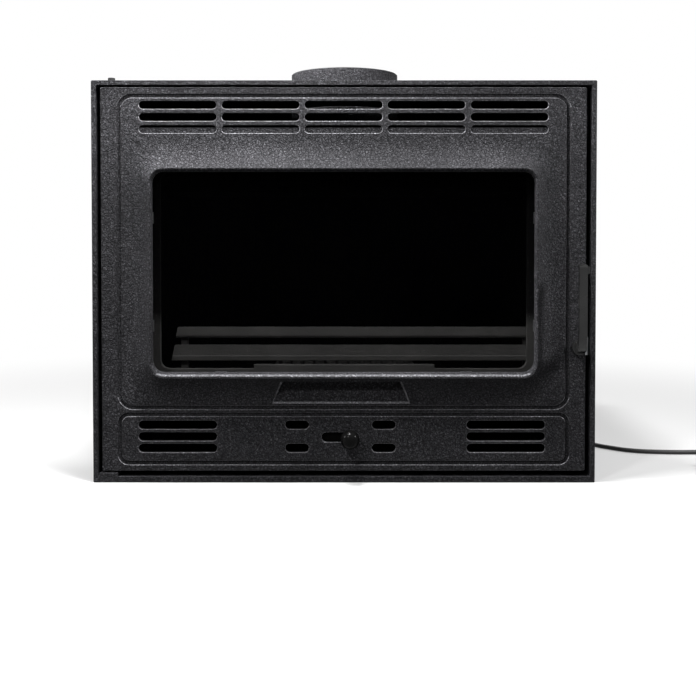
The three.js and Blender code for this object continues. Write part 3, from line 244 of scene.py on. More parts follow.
def rod(name, axis, centre, start, end, radius, sides=32):
    """A round bar along an axis, from start to end."""
    points = []
    for along in (start, end):
        for k in range(sides):
            angle = 2 * math.pi * k / sides
            points.append(at(axis, centre[0] + radius * math.cos(angle),
                             centre[1] + radius * math.sin(angle), along))
    faces = [(k, (k + 1) % sides, sides + (k + 1) % sides, sides + k) for k in range(sides)]
    faces += [tuple(range(sides - 1, -1, -1)), tuple(range(sides, 2 * sides))]
    return face_out(mesh_from(name, points, faces))


def turned(name, axis, centre, profile, sides):
    """A closed profile of (radius, along) pairs turned round an axis."""
    points, n = [], len(profile)
    for k in range(sides):
        c, s = math.cos(2 * math.pi * k / sides), math.sin(2 * math.pi * k / sides)
        points += [at(axis, centre[0] + r * c, centre[1] + r * s, along) for r, along in profile]
    faces = [(a * n + i, a * n + (i + 1) % n, b * n + (i + 1) % n, b * n + i)
             for a, b in ((k, (k + 1) % sides) for k in range(sides)) for i in range(n)]
    return face_out(mesh_from(name, points, faces))


def merged(name, objs):
    """One object of several that don't touch."""
    points, faces = [], []
    for obj in objs:
        start = len(points)
        points += [v.co / MM for v in obj.data.vertices]
        faces += [tuple(start + i for i in f.vertices) for f in obj.data.polygons]
        bpy.data.objects.remove(obj)
    return mesh_from(name, points, faces)


def boolean(obj, operation, *tools):
    """Applies each tool to obj and removes it."""
    for tool in tools:
        mod = obj.modifiers.new("boolean", "BOOLEAN")
        mod.operation, mod.solver, mod.object = operation, "MANIFOLD", tool
        bpy.context.view_layer.update()
        evaluated = obj.evaluated_get(bpy.context.evaluated_depsgraph_get())
        data = bpy.data.meshes.new_from_object(evaluated)
        obj.modifiers.clear()
        obj.data = data
        bpy.data.objects.remove(tool)
    return obj


def join(obj, *tools):
    return boolean(obj, "UNION", *tools)


def cut(obj, *tools):
    return boolean(obj, "DIFFERENCE", *tools)


def smooth_group():
    """Geometry nodes that shade smooth, apart from edges sharper than an angle."""
    tree = bpy.data.node_groups.new("smooth_by_angle", "GeometryNodeTree")
    tree.interface.new_socket("Geometry", in_out="INPUT", socket_type="NodeSocketGeometry")
    angle = tree.interface.new_socket("Angle", in_out="INPUT", socket_type="NodeSocketFloat")
    angle.default_value = SMOOTH_BELOW
    tree.interface.new_socket("Geometry", in_out="OUTPUT", socket_type="NodeSocketGeometry")
    put = tree.nodes.new
    source, out = put("NodeGroupInput"), put("NodeGroupOutput")
    faces, edges = put("GeometryNodeSetShadeSmooth"), put("GeometryNodeSetShadeSmooth")
    edges.domain = "EDGE"
    edge_angle, compare = put("GeometryNodeInputMeshEdgeAngle"), put("FunctionNodeCompare")
    compare.operation = "LESS_THAN"
    wire = tree.links.new
    wire(source.outputs["Geometry"], faces.inputs["Geometry"])
    wire(faces.outputs["Geometry"], edges.inputs["Geometry"])
    wire(edge_angle.outputs["Unsigned Angle"], compare.inputs[0])
    wire(source.outputs["Angle"], compare.inputs[1])
    wire(compare.outputs["Result"], edges.inputs["Shade Smooth"])
    wire(edges.outputs["Geometry"], out.inputs["Geometry"])
    return tree


SMOOTH = smooth_group()


def soften(obj, width=0.0, weld=True):
    """Welds a mesh, rounds its sharp edges by a width in millimetres and shades it smooth."""
    if weld:
        obj.modifiers.new("weld", "WELD").merge_threshold = WELD_REACH
    if width:
        mod = obj.modifiers.new("round", "BEVEL")
        mod.width, mod.segments = width * MM, BEVEL_STEPS
        mod.limit_method, mod.angle_limit = "ANGLE", BEVEL_FROM
        mod.use_clamp_overlap = True
    obj.modifiers.new("smooth", "NODES").node_group = SMOOTH
    mod = obj.modifiers.new("weighted", "WEIGHTED_NORMAL")
    mod.keep_sharp = True
    mod.weight = 90


# ---------------------------------------------------------------- looks
RANGE = ("From Min", "From Max", "To Min", "To Max")
COOL = (1.0, 0.99, 1.075)
PAINT_STOPS = ((0.42, 0.009), (0.58, 0.018), (0.68, 0.034), (0.77, 0.09))
IRON_TONES = ((0.09, 0.088, 0.086), (0.115, 0.113, 0.11), (0.15, 0.147, 0.142))
# Near black: soot with painted shade on the chamber's walls, roof, floor and baffle, and painted
# shade alone on the air slider plate behind the control slot.
SOOT_AND_SHADE_TONES = ((0.0008, 0.0008, 0.0008), (0.0015, 0.0015, 0.0014), (0.0025, 0.0024, 0.0023))


def grey(value, tint=(1.0, 1.0, 1.0)):
    return tuple(value * t for t in tint)


class Look:
    """A material made of nodes, which lie in the object's own coordinates."""

    def __init__(self, name):
        self.material = bpy.data.materials.new(name)
        self.material.use_nodes = True
        tree = self.material.node_tree
        tree.nodes.clear()
        self.put, self.wire = tree.nodes.new, tree.links.new
        self.shader = self.put("ShaderNodeBsdfPrincipled")
        out = self.put("ShaderNodeOutputMaterial")
        self.wire(self.shader.outputs[0], out.inputs["Surface"])
        self.where = self.put("ShaderNodeTexCoord").outputs["Object"]

    def fixed(self, socket, value):
        """Sets a value that is the same all over the surface."""
        self.shader.inputs[socket].default_value = value

    def varied(self, socket, value):
        self.wire(value, self.shader.inputs[socket])

    def noise(self, scale, detail, roughness, stretch=None):
        where = self.where
        if stretch:
            mapping = self.put("ShaderNodeMapping")
            mapping.inputs["Scale"].default_value = stretch
            self.wire(where, mapping.inputs["Vector"])
            where = mapping.outputs[0]
        node = self.put("ShaderNodeTexNoise")
        node.inputs["Scale"].default_value = scale
        node.inputs["Detail"].default_value = detail
        node.inputs["Roughness"].default_value = roughness
        self.wire(where, node.inputs["Vector"])
        return node.outputs["Fac"]

    def cells(self, scale):
        """The distance to the nearest border between random cells."""
        node = self.put("ShaderNodeTexVoronoi")
        node.feature = "DISTANCE_TO_EDGE"
        node.inputs["Scale"].default_value = scale
        self.wire(self.where, node.inputs["Vector"])
        return node.outputs["Distance"]

    def ramp(self, value, stops):
        """Colours at the given places of a value."""
        node = self.put("ShaderNodeValToRGB")
        elements = node.color_ramp.elements
        while len(elements) < len(stops):
            elements.new(0.5)
        for element, (place, colour) in zip(elements, stops):
            element.position = place
            element.color = (*colour, 1)
        self.wire(value, node.inputs[0])
        return node.outputs[0]

    def spread(self, value, low, high, start=0.3, end=0.7):
        """Takes a value from start and end to low and high."""
        node = self.put("ShaderNodeMapRange")
        for socket, number in zip(RANGE, (start, end, low, high)):
            node.inputs[socket].default_value = number
        self.wire(value, node.inputs["Value"])
        return node.outputs[0]

    def added(self, value, other, share):
        """The value and a share of another."""
        node = self.put("ShaderNodeMath")
        node.operation = "MULTIPLY_ADD"
        self.wire(other, node.inputs[0])
        node.inputs[1].default_value = share
        self.wire(value, node.inputs[2])
        return node.outputs[0]

    def scaled(self, tone, factor):
        node = self.put("ShaderNodeVectorMath")
        node.operation = "SCALE"
        self.wire(tone, node.inputs[0])
        self.wire(factor, node.inputs["Scale"])
        return node.outputs[0]

    def darker_by_height(self, tone, full, none):
        """The tone darkened to a twentieth at the height full and left whole at the height none,
        blended between.
        """
        height = self.put("ShaderNodeSeparateXYZ")
        self.wire(self.where, height.inputs[0])
        return self.scaled(tone, self.spread(height.outputs["Z"], 0.05, 1.0, full, none))

    def relief(self, height, distance, strength):
        node = self.put("ShaderNodeBump")
        node.inputs["Distance"].default_value = distance
        node.inputs["Strength"].default_value = strength
        self.wire(height, node.inputs["Height"])
        self.varied("Normal", node.outputs[0])


def cast_paint(name, level=1.0, gloss=0.025, darker_heights=None):
    """Matt stove paint over sand-cast iron: a wrinkled sandy skin with pale specks."""
    look = Look(name)
    sand = look.noise(560, 3.0, 0.75)
    lumps = look.noise(150, 3.0, 0.6)
    patches = look.noise(11, 3.0, 0.6)
    wrinkle = look.spread(look.cells(210), 0.0, 1.0, 0.0, 0.16)
    tone = look.ramp(look.added(sand, patches, 0.16),
                     [(place, grey(level * value, COOL)) for place, value in PAINT_STOPS])
    tone = look.scaled(tone, look.spread(wrinkle, 0.5, 1.15, 0.0, 1.0))
    if darker_heights:
        tone = look.darker_by_height(tone, *darker_heights)
    look.varied("Base Color", tone)
    look.varied("Roughness", look.spread(lumps, 0.5, 0.72))
    look.fixed("Specular IOR Level", gloss)
    look.relief(look.added(look.added(sand, lumps, 0.8), wrinkle, 0.35), 0.0012, 1.0)
    return look.material


def sheet_paint():
    """Thin satin paint on sheet steel, with a faint orange peel."""
    look = Look("casing_paint_look")
    peel = look.noise(420, 2.0, 0.5)
    patches = look.noise(9, 4.0, 0.6)
    look.varied("Base Color", look.ramp(patches, [(0.35, grey(0.015)), (0.7, grey(0.024))]))
    look.varied("Roughness", look.spread(patches, 0.6, 0.76))
    look.fixed("Specular IOR Level", 0.04)
    look.relief(peel, 0.0002, 0.6)
    return look.material


def fire_iron(name, tones, gloss, darker_heights=None):
    """Bare cast iron of the fire chamber: coarse grain under a brown-grey bloom; near-black tones
    make it soot with painted shade, and the heights, when given, darken it from one height to
    another.
    """
    look = Look(name)
    grain = look.noise(420, 3.0, 0.65)
    bloom = look.noise(14, 5.0, 0.6)
    tone = look.ramp(bloom, list(zip((0.3, 0.55, 0.75), tones)))
    if darker_heights:
        tone = look.darker_by_height(tone, *darker_heights)
    look.varied("Base Color", tone)
    look.varied("Roughness", look.spread(bloom, 0.7, 0.88))
    look.fixed("Specular IOR Level", gloss)
    look.relief(grain, 0.0012, 0.8)
    return look.material


def plated_steel():
    """Zinc-plated steel, drawn along its length."""
    look = Look("zinc_steel_look")
    drawn = look.noise(300, 3.0, 0.6, stretch=(0.25, 1, 1))
    spangle = look.noise(60, 3.0, 0.6)
    zinc = [(0.3, (0.42, 0.43, 0.45)), (0.7, (0.58, 0.59, 0.6))]
    look.varied("Base Color", look.ramp(spangle, zinc))
    look.varied("Roughness", look.spread(drawn, 0.28, 0.46))
    look.fixed("Metallic", 0.95)
    look.relief(drawn, 0.0001, 0.5)
    return look.material


def rope_fibre():
    """Black glass-fibre seal: fine yarn with pale broken fibres."""
    look = Look("seal_rope_look")
    yarn = look.noise(1500, 3.0, 0.7)
    fibres = [(0.3, grey(0.02)), (0.6, grey(0.05)), (0.8, grey(0.12))]
    look.varied("Base Color", look.ramp(yarn, fibres))
    look.fixed("Roughness", 0.95)
    look.fixed("Specular IOR Level", 0.1)
    look.relief(yarn, 0.0005, 0.8)
    return look.material


def dark_glass():
    """Heat-resistant glass with a thin haze and a dark tint, which paints shade over the fire
    chamber behind it.
    """
    look = Look("ceramic_glass_look")
    haze = look.noise(7, 4.0, 0.6)
    shade_tint = [(0.35, (0.0002, 0.0002, 0.0003)), (0.7, (0.0005, 0.0005, 0.0006))]
    look.varied("Base Color", look.ramp(haze, shade_tint))
    look.varied("Roughness", look.spread(haze, 0.03, 0.07))
    look.fixed("Specular IOR Level", 0.004)
    # The part-opaque dark veil is painted shade over what lies behind the glass.
    look.fixed("Alpha", 0.35)
    return look.material


def bakelite():
    """Pressed black resin with a polished skin."""
    look = Look("knob_bakelite_look")
    swirl = look.noise(120, 4.0, 0.6)
    look.varied("Base Color", look.ramp(swirl, [(0.35, grey(0.0015)), (0.7, grey(0.003))]))
    look.varied("Roughness", look.spread(swirl, 0.14, 0.22))
    look.fixed("Specular IOR Level", 0.035)
    look.relief(swirl, 0.0001, 0.3)
    return look.material


def moulded(name, low, high, rough):
    """Plastic, rubber or enamel with a fine grain, from one tone to another."""
    look = Look(name)
    grain = look.noise(1100, 2.0, 0.5)
    patches = look.noise(40, 3.0, 0.5)
    look.varied("Base Color", look.ramp(patches, [(0.3, grey(low)), (0.7, grey(high))]))
    look.varied("Roughness", look.spread(patches, rough - 0.06, rough + 0.06))
    look.fixed("Specular IOR Level", 0.3)
    look.relief(grain, 0.00015, 0.5)
    return look.material


LOOKS = {
    "stove_paint": cast_paint("stove_paint_look"),
    "casing_paint": sheet_paint(),
    # The chamber iron goes darker above 0.235 m: partly soot, mostly painted shade of the chamber
    # above the log guard.
    "firebox_iron": fire_iron("firebox_iron_look", IRON_TONES, 0.2, darker_heights=(0.235, 0.215)),
    "zinc_steel": plated_steel(),
    "seal_rope": rope_fibre(),
    "ceramic_glass": dark_glass(),
    "knob_bakelite": bakelite(),
    "fan_plastic": moulded("fan_plastic_look", 0.012, 0.018, 0.5),
    "cord_rubber": moulded("cord_rubber_look", 0.02, 0.03, 0.55),
}
# Near-black iron: soot with painted shade inside the chamber, and painted shade alone on the air
# slider plate.
SOOT_AND_SHADE = fire_iron("soot_and_shade_iron_look", SOOT_AND_SHADE_TONES, 0.02)
# The collar's paint goes darker below 0.52 m.
COLLAR_PAINT = cast_paint("collar_paint_look", darker_heights=(0.52, 0.545))
# Lighter, glossier paint: a painted highlight on the door's rims.
RIM_HIGHLIGHT = cast_paint("rim_highlight_look", 4.2, 0.3)
HANDLE_ENAMEL = moulded("handle_enamel_look", 0.005, 0.009, 0.24)
SOOT_AND_SHADE_PARTS = ("firebox_left", "firebox_right", "firebox_back", "firebox_roof", "firebox_floor",
          "baffle_plate", "air_slider_plate")
OWN_LOOKS = {
    "flue_collar": COLLAR_PAINT, "door_handle": HANDLE_ENAMEL, **{name: SOOT_AND_SHADE for name in SOOT_AND_SHADE_PARTS},
}


def dress(obj, slot, body, *replaced):
    """Gives a new piece its finish, its body and the nodes it stands for."""
    obj.data.materials.clear()
    obj.data.materials.append(LOOKS[slot])
    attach(obj, body)
    if replaced:
        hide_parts(*replaced)
    return obj


# ---------------------------------------------------------------- mains lead and fan wire
def coil_point(loop):
    """A point of the coil, so many turns in: inwards on the floor, up, and outwards on top."""
    inward = min(loop, COIL["turns"])
    climb = min(max(loop - COIL["turns"], 0), COIL["half"]) / COIL["half"]
    outward = max(loop - COIL["turns"] - COIL["half"], 0)
    r = COIL["inner"] + COIL["pitch"] * (COIL["turns"] - inward + outward)
    angle = math.pi / 2 - loop * 2 * math.pi
    return (COIL["x"] + r * math.cos(angle), COIL["y"] + r * math.sin(angle),
            COIL["z"] + COIL["layer"] * climb)


def lead_points():
    """The lead's middle line: out of its gland, down to the floor, along it and into the coil."""
    loops = 2 * COIL["turns"] + COIL["half"]
    coil = [coil_point(i / COIL["steps"]) for i in range(round(loops * COIL["steps"]) + 1)]
    first, last = coil[0], coil[-1]
    return [
        (343.3, 165, 30), (350.3, 165, 30), (367, 159, 24), (382, 138, 11), (391, 104, 4.4),
        (398, 66, 3.6), (407, 27, 3.5), (428, 2, 3.5), (456, -19, 3.5), (500, -29, 3.5),
        (560, -31, 3.8), (first[0] - 7.3, first[1], first[2]),
        *coil,
        (last[0] - 7, last[1], last[2] + 1.6), (last[0] - 15, last[1], PLUG_Z),
        (last[0] - 22, last[1], PLUG_Z),
    ]


def cable(name, points, radius):
    data = bpy.data.curves.new(name, "CURVE")
    data.dimensions = "3D"
    data.bevel_depth = radius * MM
    data.bevel_resolution = 6
    data.resolution_u = 6
    data.use_fill_caps = True
    spline = data.splines.new("BEZIER")
    spline.bezier_points.add(len(points) - 1)
    for knot, p in zip(spline.bezier_points, points):
        knot.co = Vector(p) * MM
        knot.handle_left_type = knot.handle_right_type = "AUTO"
    return link(name, data)


lead = dress(cable("mains_lead", lead_points(), CORD_RADIUS), "cord_rubber", "insert",
             "power_cord", "cord_coil")
bpy.context.view_layer.update()

FAN_WIRE = ((317.7, 165, 30), (300, 165, 29.6), (250, 165, 26.5), (190, 165, 24.6),
            (130, 165, 26.5), (80, 165, 29.6), (60.3, 165, 30))
dress(cable("fan_wire", FAN_WIRE, FAN_WIRE_RADIUS), "cord_rubber", "insert", "fan_lead")

# ---------------------------------------------------------------- door casting
LIP = rect(266.95, 149.8, 437.0, 20)
APERTURE = rect(263.25, 156.0, 432.3, 15)
GLASS_EDGE = grown(APERTURE, GLASS["overlap"])
THROAT = rect(287.0, 117.0, 468.2, 18)
AIR_MOUTH = rect(150, 22.8, 104, 8, x=0)
PANELS = (rect(315.05, 101.9, 540.9, 22), rect(315.05, 24.4, 97.8, 15))

# The window's section, from the crest of the lip to the glass: (depth, share of the way in).
WINDOW_SLOPE = (
    (-LAP, 0.0), (-HAIR, 0.0), (0.1, 0.14), (0.35, 0.28), (0.75, 0.42), (1.5, 0.58), (3.0, 0.8),
    (5.0, 0.95), (HOOD["bevel"], 1.0), (GLASS["seat"] - LIP_Y + LAP, 1.0),
)


def hood_rect(s, inset=0.0):
    """The surround's outline at a share s of the way from its foot to its lip."""
    away = 1 - s
    return rect(LIP["half"] + HOOD["side"] * away - inset,
                LIP["bottom"] - HOOD["below"] * away + inset,
                LIP["top"] + HOOD["above"] * away - inset,
                LIP["radius"] + (HOOD["foot_radius"] - LIP["radius"]) * away
                - inset * HOOD["inner_round"])


def hood_y(s):
    return DOOR["front"] - HOOD["rise"] * s ** HOOD["power"]


def rise_tool():
    """The surround, solid, from inside the plate to its lip."""
    steps = HOOD["steps"]
    rings = [(outline(hood_rect(0), CORNER_STEPS), DOOR["plate"] - LAP)]
    rings += [(outline(hood_rect(k / steps), CORNER_STEPS), hood_y(k / steps) - (0 if k else HAIR))
              for k in range(steps + 1)]
    return loft("rise", rings)


def hollow_tool():
    """The space behind the surround, up to the glass."""
    steps, wall = HOOD["hollow_steps"], HOOD["wall"]
    rings = [(outline(hood_rect(0, wall), CORNER_STEPS), DOOR["back"] + LAP)]
    rings += [(outline(hood_rect(k / steps, wall), CORNER_STEPS), hood_y(k / steps) + wall)
              for k in range(steps + 1) if hood_y(k / steps) + wall > GLASS["seat"]]
    return loft("hollow", rings)


def groove_tool(panel):
    """A channel with rounded rims and a rounded bed, along a panel's outline."""
    w, d, r = GROOVE["width"], GROOVE["depth"], GROOVE["rim"]
    wall = [(r, -LAP), (r, -HAIR), (0.4 * r, 0.12 * d), (0, 0.35 * d), (-0.12 * w, 0.85 * d),
            (-0.25 * w, d)]
    section = wall + [(-w - g, y) for g, y in reversed(wall)]
    return loft("groove", [(outline(grown(panel, g), CORNER_STEPS), DOOR["front"] + y)
                           for g, y in section], closed=True)


def slot_tool(x, z, length, height):
    """A slot through the plate with a rounded rim in front."""
    rings = [(stadium(x, z, length, height, SLOT_RIM), DOOR["front"] - LAP)]
    rings += [(stadium(x, z, length, height, grow), DOOR["front"] + depth - HAIR)
              for grow, depth in round_over(SLOT_RIM)]
    rings.append((stadium(x, z, length, height), DOOR["back"]))
    return loft("slot", rings)


def grille_tools():
    """Every slot of the door, as one tool."""
    tools = []
    for c in range(TOP_GRILLE["columns"]):
        x = DOOR["middle"] + (c - (TOP_GRILLE["columns"] - 1) / 2) * TOP_GRILLE["pitch"]
        tools += [slot_tool(x, z, TOP_GRILLE["length"], TOP_GRILLE["height"])
                  for z in TOP_GRILLE["rows"]]
    for side in (-1, 1):
        x = DOOR["middle"] + SIDE_GRILLE["shift"] + side * SIDE_GRILLE["x"]
        tools += [slot_tool(x, z, SIDE_GRILLE["length"], SIDE_GRILLE["height"])
                  for z in SIDE_GRILLE["rows"]]
    tools += [slot_tool(x, z, AIR_PORT["length"], AIR_PORT["height"])
              for x in AIR_PORT["x"] for z in AIR_PORT["rows"]]
    tools.append(slot_tool(*(CONTROL_SLOT[key] for key in ("x", "z", "length", "height"))))
    return merged("slots", tools)


def window_tool():
    """The bevelled opening: a rounded crest, a slope down to the glass and a straight wall."""
    start = grown(LIP, -HOOD["crest"])
    return loft("window", [(outline(between(start, APERTURE, share), CORNER_STEPS), LIP_Y + depth)
                           for depth, share in WINDOW_SLOPE])


def plaque_outline(inset):
    x, low = PLAQUE["x"], PLAQUE["half_bottom"] - inset
    high = PLAQUE["half_top"] - inset
    return [(x - low, PLAQUE["bottom"] + inset), (x + low, PLAQUE["bottom"] + inset),
            (x + high, PLAQUE["top"]), (x - high, PLAQUE["top"])]


def plaque_tool():
    """The bare plaque's recess, with slanted sides."""
    front = DOOR["front"]
    return loft("recess", [(plaque_outline(inset), y) for inset, y in (
        (0, LIP_Y - LAP), (0, front - PLAQUE["brim"]),
        (PLAQUE["draft"], front + PLAQUE["floor"]))])


def plaque_filler():
    """What fills the surround's hollow behind the plaque."""
    reach = PLAQUE["half_bottom"] + PLAQUE["wall"]
    filler = box("filler", PLAQUE["x"] - reach, PLAQUE["x"] + reach, LIP_Y - 2 * LAP,
                 DOOR["plate"], PLAQUE["bottom"] - PLAQUE["draft"],
                 GLASS_EDGE["bottom"] - GLASS["pocket"] - LAP)
    return boolean(filler, "INTERSECT", rise_tool())


def clip_seats():
    """Where the screws of the glass retainer stand, as (x, z)."""
    middle = (GLASS_EDGE["bottom"] + GLASS_EDGE["top"]) / 2
    sides = [(DOOR["middle"] + s * CLIP["x"], middle + t * CLIP["z"])
             for s in (-1, 1) for t in (-1, 1)]
    ends = [(DOOR["middle"] + t * CLIP["end_x"], z) for t in (-1, 1)
            for z in (GLASS_EDGE["bottom"] - CLIP["end_z"], GLASS_EDGE["top"] + CLIP["end_z"])]
    return sides + ends


def door_casting():
    front, plate, back = DOOR["front"], DOOR["plate"], DOOR["back"]
    hinge, handle = (HINGE["x"], HINGE["y"]), (HANDLE["x"], HANDLE["z"])
    edge = rect(DOOR["half"], DOOR["bottom"], DOOR["top"], DOOR["corner"])
    rings = [(outline(grown(edge, -inset), EDGE_STEPS), front + depth)
             for inset, depth in round_over(DOOR["rim"])]
    body = loft("door_face", rings + [(outline(edge, EDGE_STEPS), plate)])
    body = cut(body, *[groove_tool(panel) for panel in PANELS])
    flange = frame_solid("edge", edge, grown(edge, -DOOR["wall"]), front + DOOR["lap"], back,
                         EDGE_STEPS)
    body = cut(join(body, flange, rise_tool()), hollow_tool())

    reach = ROPE["channel"] + ROPE["rib"]
    ribs = [frame_solid("rib", grown(path, reach), grown(path, -reach), y, ROPE["y"])
            for path, y in ((THROAT, front + LAP), (AIR_MOUTH, plate - LAP))]
    bosses = [rod("boss", "z", hinge, z, z + HINGE["length"], HINGE["boss"])
              for z in (DOOR["bottom"] + GAP, DOOR["top"] - HINGE["length"] - GAP)]
    bosses.append(rod("boss", "y", handle, plate - LAP, back - HANDLE["inset"], HANDLE["boss"]))
    body = join(body, plaque_filler(), *ribs, *bosses)

    pocket = loft("pocket", [(outline(grown(GLASS_EDGE, GLASS["pocket"]), FRAME_STEPS), y)
                             for y in (GLASS["seat"], back + LAP)])
    body = cut(body, pocket, window_tool(), plaque_tool(), grille_tools())

    # The lowest row of the top grille is half closed from behind.
    backing = box("backing", -BACKING["half"], BACKING["half"], front + BACKING["front"],
                  plate + BACKING["back"], BACKING["bottom"], BACKING["top"])
    body = join(body, backing, *[rod("boss", "y", seat, GLASS["back"] - LAP, CLIP["boss_y"],
                                     CLIP["boss"], CLIP["sides"]) for seat in clip_seats()])

    channels = [frame_solid("channel", grown(path, ROPE["channel"]), grown(path, -ROPE["channel"]),
                            ROPE["y"] - ROPE["channel"], back + LAP)
                for path in (THROAT, AIR_MOUTH)]
    bores = [rod("bore", "z", hinge, z, z + HINGE["engage"] + LAP, HINGE["bore"])
             for z in (DOOR["bottom"] - LAP, DOOR["top"] - HINGE["engage"])]
    bores.append(rod("bore", "y", handle, front - LAP, back + LAP, HANDLE["bore"]))
    return cut(body, *channels, *bores)


def paint_rim_highlights(obj, deep=1.3, slack=0.1, sill=5, facing=(0.1, 0.98), level=0.15):
    """Paints a highlight on the level rims of the grooves, slots, plaque and sill, as a lighter,
    glossier paint.

    A rim is at most deep below the plate or the lip, and neither flat nor upright.
    """
    obj.data.materials.append(RIM_HIGHLIGHT)
    for f in obj.data.polygons:
        y, z = f.center.y / MM, f.center.z / MM
        on_plate = DOOR["front"] - slack < y < DOOR["front"] + deep
        on_sill = LIP_Y - slack < y < LIP_Y + deep and abs(z - LIP["bottom"]) < sill
        if ((on_plate or on_sill) and facing[0] < -f.normal.y < facing[1]
                and abs(f.normal.z) > level):
            f.material_index = 1


face = dress(door_casting(), "stove_paint", "door", "door_casting")
paint_rim_highlights(face)
soften(face)


# ---------------------------------------------------------------- seals
def path_points(path, step):
    """Points evenly spaced along a rounded rectangle."""
    corners = outline(path, 12)
    spaced, carry = [], 0.0
    for (x0, z0), (x1, z1) in zip(corners, corners[1:] + corners[:1]):
        length = math.hypot(x1 - x0, z1 - z0)
        while carry < length:
            t = carry / length
            spaced.append((x0 + (x1 - x0) * t, z0 + (z1 - z0) * t))
            carry += step
        carry -= length
    return spaced


def rope_ring(name, path):
    """A seal rope of twisted strands, laid along a closed outline."""
    around = path_points(path, ROPE["step"])
    n, sides = len(around), ROPE["sides"]
    turns = round(n * ROPE["step"] / ROPE["lay"])
    radius, dip = ROPE["radius"] - ROPE["clear"], ROPE["dip"]
    points, faces = [], []
    for i, (x, z) in enumerate(around):
        (x0, z0), (x1, z1) = around[i - 1], around[(i + 1) % n]
        length = math.hypot(x1 - x0, z1 - z0)
        out_x, out_z = (z1 - z0) / length, -(x1 - x0) / length
        for k in range(sides):
            angle = 2 * math.pi * k / sides
            twist = angle * ROPE["strands"] + 2 * math.pi * turns * i / n
            r = radius * (1 - dip + dip * abs(math.cos(twist / 2)) ** ROPE["round"])
            across = r * math.cos(angle)
            points.append((x + out_x * across, ROPE["y"] + r * math.sin(angle),
                           z + out_z * across))
    for i in range(n):
        a, b = i * sides, ((i + 1) % n) * sides
        faces += [(a + k, b + k, b + (k + 1) % sides, a + (k + 1) % sides) for k in range(sides)]
    return face_out(mesh_from(name, points, faces))


for name, path, node in (("window_seal", THROAT, "window_rope"),
                         ("air_box_seal", AIR_MOUTH, "air_box_rope")):
    soften(dress(rope_ring(name, path), "seal_rope", "door", node), weld=False)
tape = frame_solid("glass_tape", grown(GLASS_EDGE, -GAP), grown(GLASS_EDGE, -GLASS["tape"]),
                   GLASS["seat"] + GAP, GLASS["front"] - GAP)
soften(dress(tape, "seal_rope", "door", "glass_gasket"), SMALL_ROUND)

# ---------------------------------------------------------------- knob
# The stem as (radius, distance in front of the knob's back).
KNOB_STEM = ((TIP, 0), (8.0, 0), (8.0, 0.6), (7.0, 2.4), (6.3, 5), (6.2, 8), (6.9, 10.5),
             (8.4, 12.6))


def knob_profile(start=-0.9, steps=12, flatness=0.8):
    """The waisted stem and a flattened ball, from the angle start up to its tip."""
    stem = [(radius, KNOB["back"] - ahead) for radius, ahead in KNOB_STEM]
    head = []
    for k in range(steps):
        t = start + (math.pi / 2 - start) * k / steps
        bulge = KNOB["dome"] if t > 0 else KNOB["under"]
        head.append((KNOB["radius"] * math.cos(t) ** flatness,
                     KNOB["middle"] - bulge * math.sin(t)))
    return stem + head + [(TIP, KNOB["front"])]


knob_centre = (KNOB["x"], KNOB["z"])
knob = turned("knob_head", "y", knob_centre, knob_profile(), sides=64)
knob = cut(knob, rod("bore", "y", knob_centre, KNOB["bore_y"], KNOB["back"] + LAP, KNOB["bore"]))
soften(dress(knob, "knob_bakelite", "air_slider", "air_knob"))


# ---------------------------------------------------------------- screws
TAB_Y, GUIDE_Y, FAN_Y, SIDE_X, LID_Z = -205.2, -194.4, 132.5, 325, 539.2  # faces they stand on


def screw(point, axis, way, radius, height):
    """A pan head with a cross recess, which stands on a point and rises along way."""
    profile = [(TIP, 0), (radius, 0), (radius, 0.35 * height), (radius * 0.9, 0.7 * height),
               (radius * 0.6, 0.93 * height), (TIP, height)]
    head = turned("head", "z", (0, 0), profile, sides=20)
    narrow, long = radius * 0.14, radius * 0.55
    for a, b in ((narrow, long), (long, narrow)):
        cut(head, box("slot", -a, a, -b, b, 0.5 * height, height + LAP))
    points = []
    for v in head.data.vertices:
        u, w, h = (c / MM for c in v.co)
        h *= way
        offset = {"x": (h, u, w), "y": (u, h, w), "z": (u, w, h)}[axis]
        points.append(tuple(p + o for p, o in zip(point, offset)))
    faces = [tuple(f.vertices) for f in head.data.polygons]
    bpy.data.objects.remove(head)
    return face_out(mesh_from("screw", points, faces))


def screw_set(name, body, axis, radius, height, heads):
    """One piece of several screws of a size, each given as (point, way)."""
    screws = [screw(point, axis, way, radius, height) for point, way in heads]
    soften(dress(merged(name, screws), "zinc_steel", body), weld=False)


screw_set("tab_screws", "door", "y", 3.4, 2.2, [((x, TAB_Y, z), 1) for x, z in clip_seats()])
screw_set("guide_screws", "door", "y", 2.4, 1.8,
          [((x, GUIDE_Y, z), 1) for x in (-126, 126) for z in (33.6, 92.9)])
screw_set("fan_screws", "insert", "y", 3.6, 2.4,
          [((x, FAN_Y, z), -1) for x in (-52.4, 52.4) for z in (13.6, 118.4)])
screw_set("casing_screws", "insert", "x", 4, 2.4,
          [((side * SIDE_X, 200, z), side) for side in (-1, 1) for z in (30, 145, 260, 375, 490)])
screw_set("lid_screws", "insert", "z", 4, 2.4,
          [((x, y, LID_Z), 1) for x in (-300, -100, 100, 300) for y in (-150, 200)])

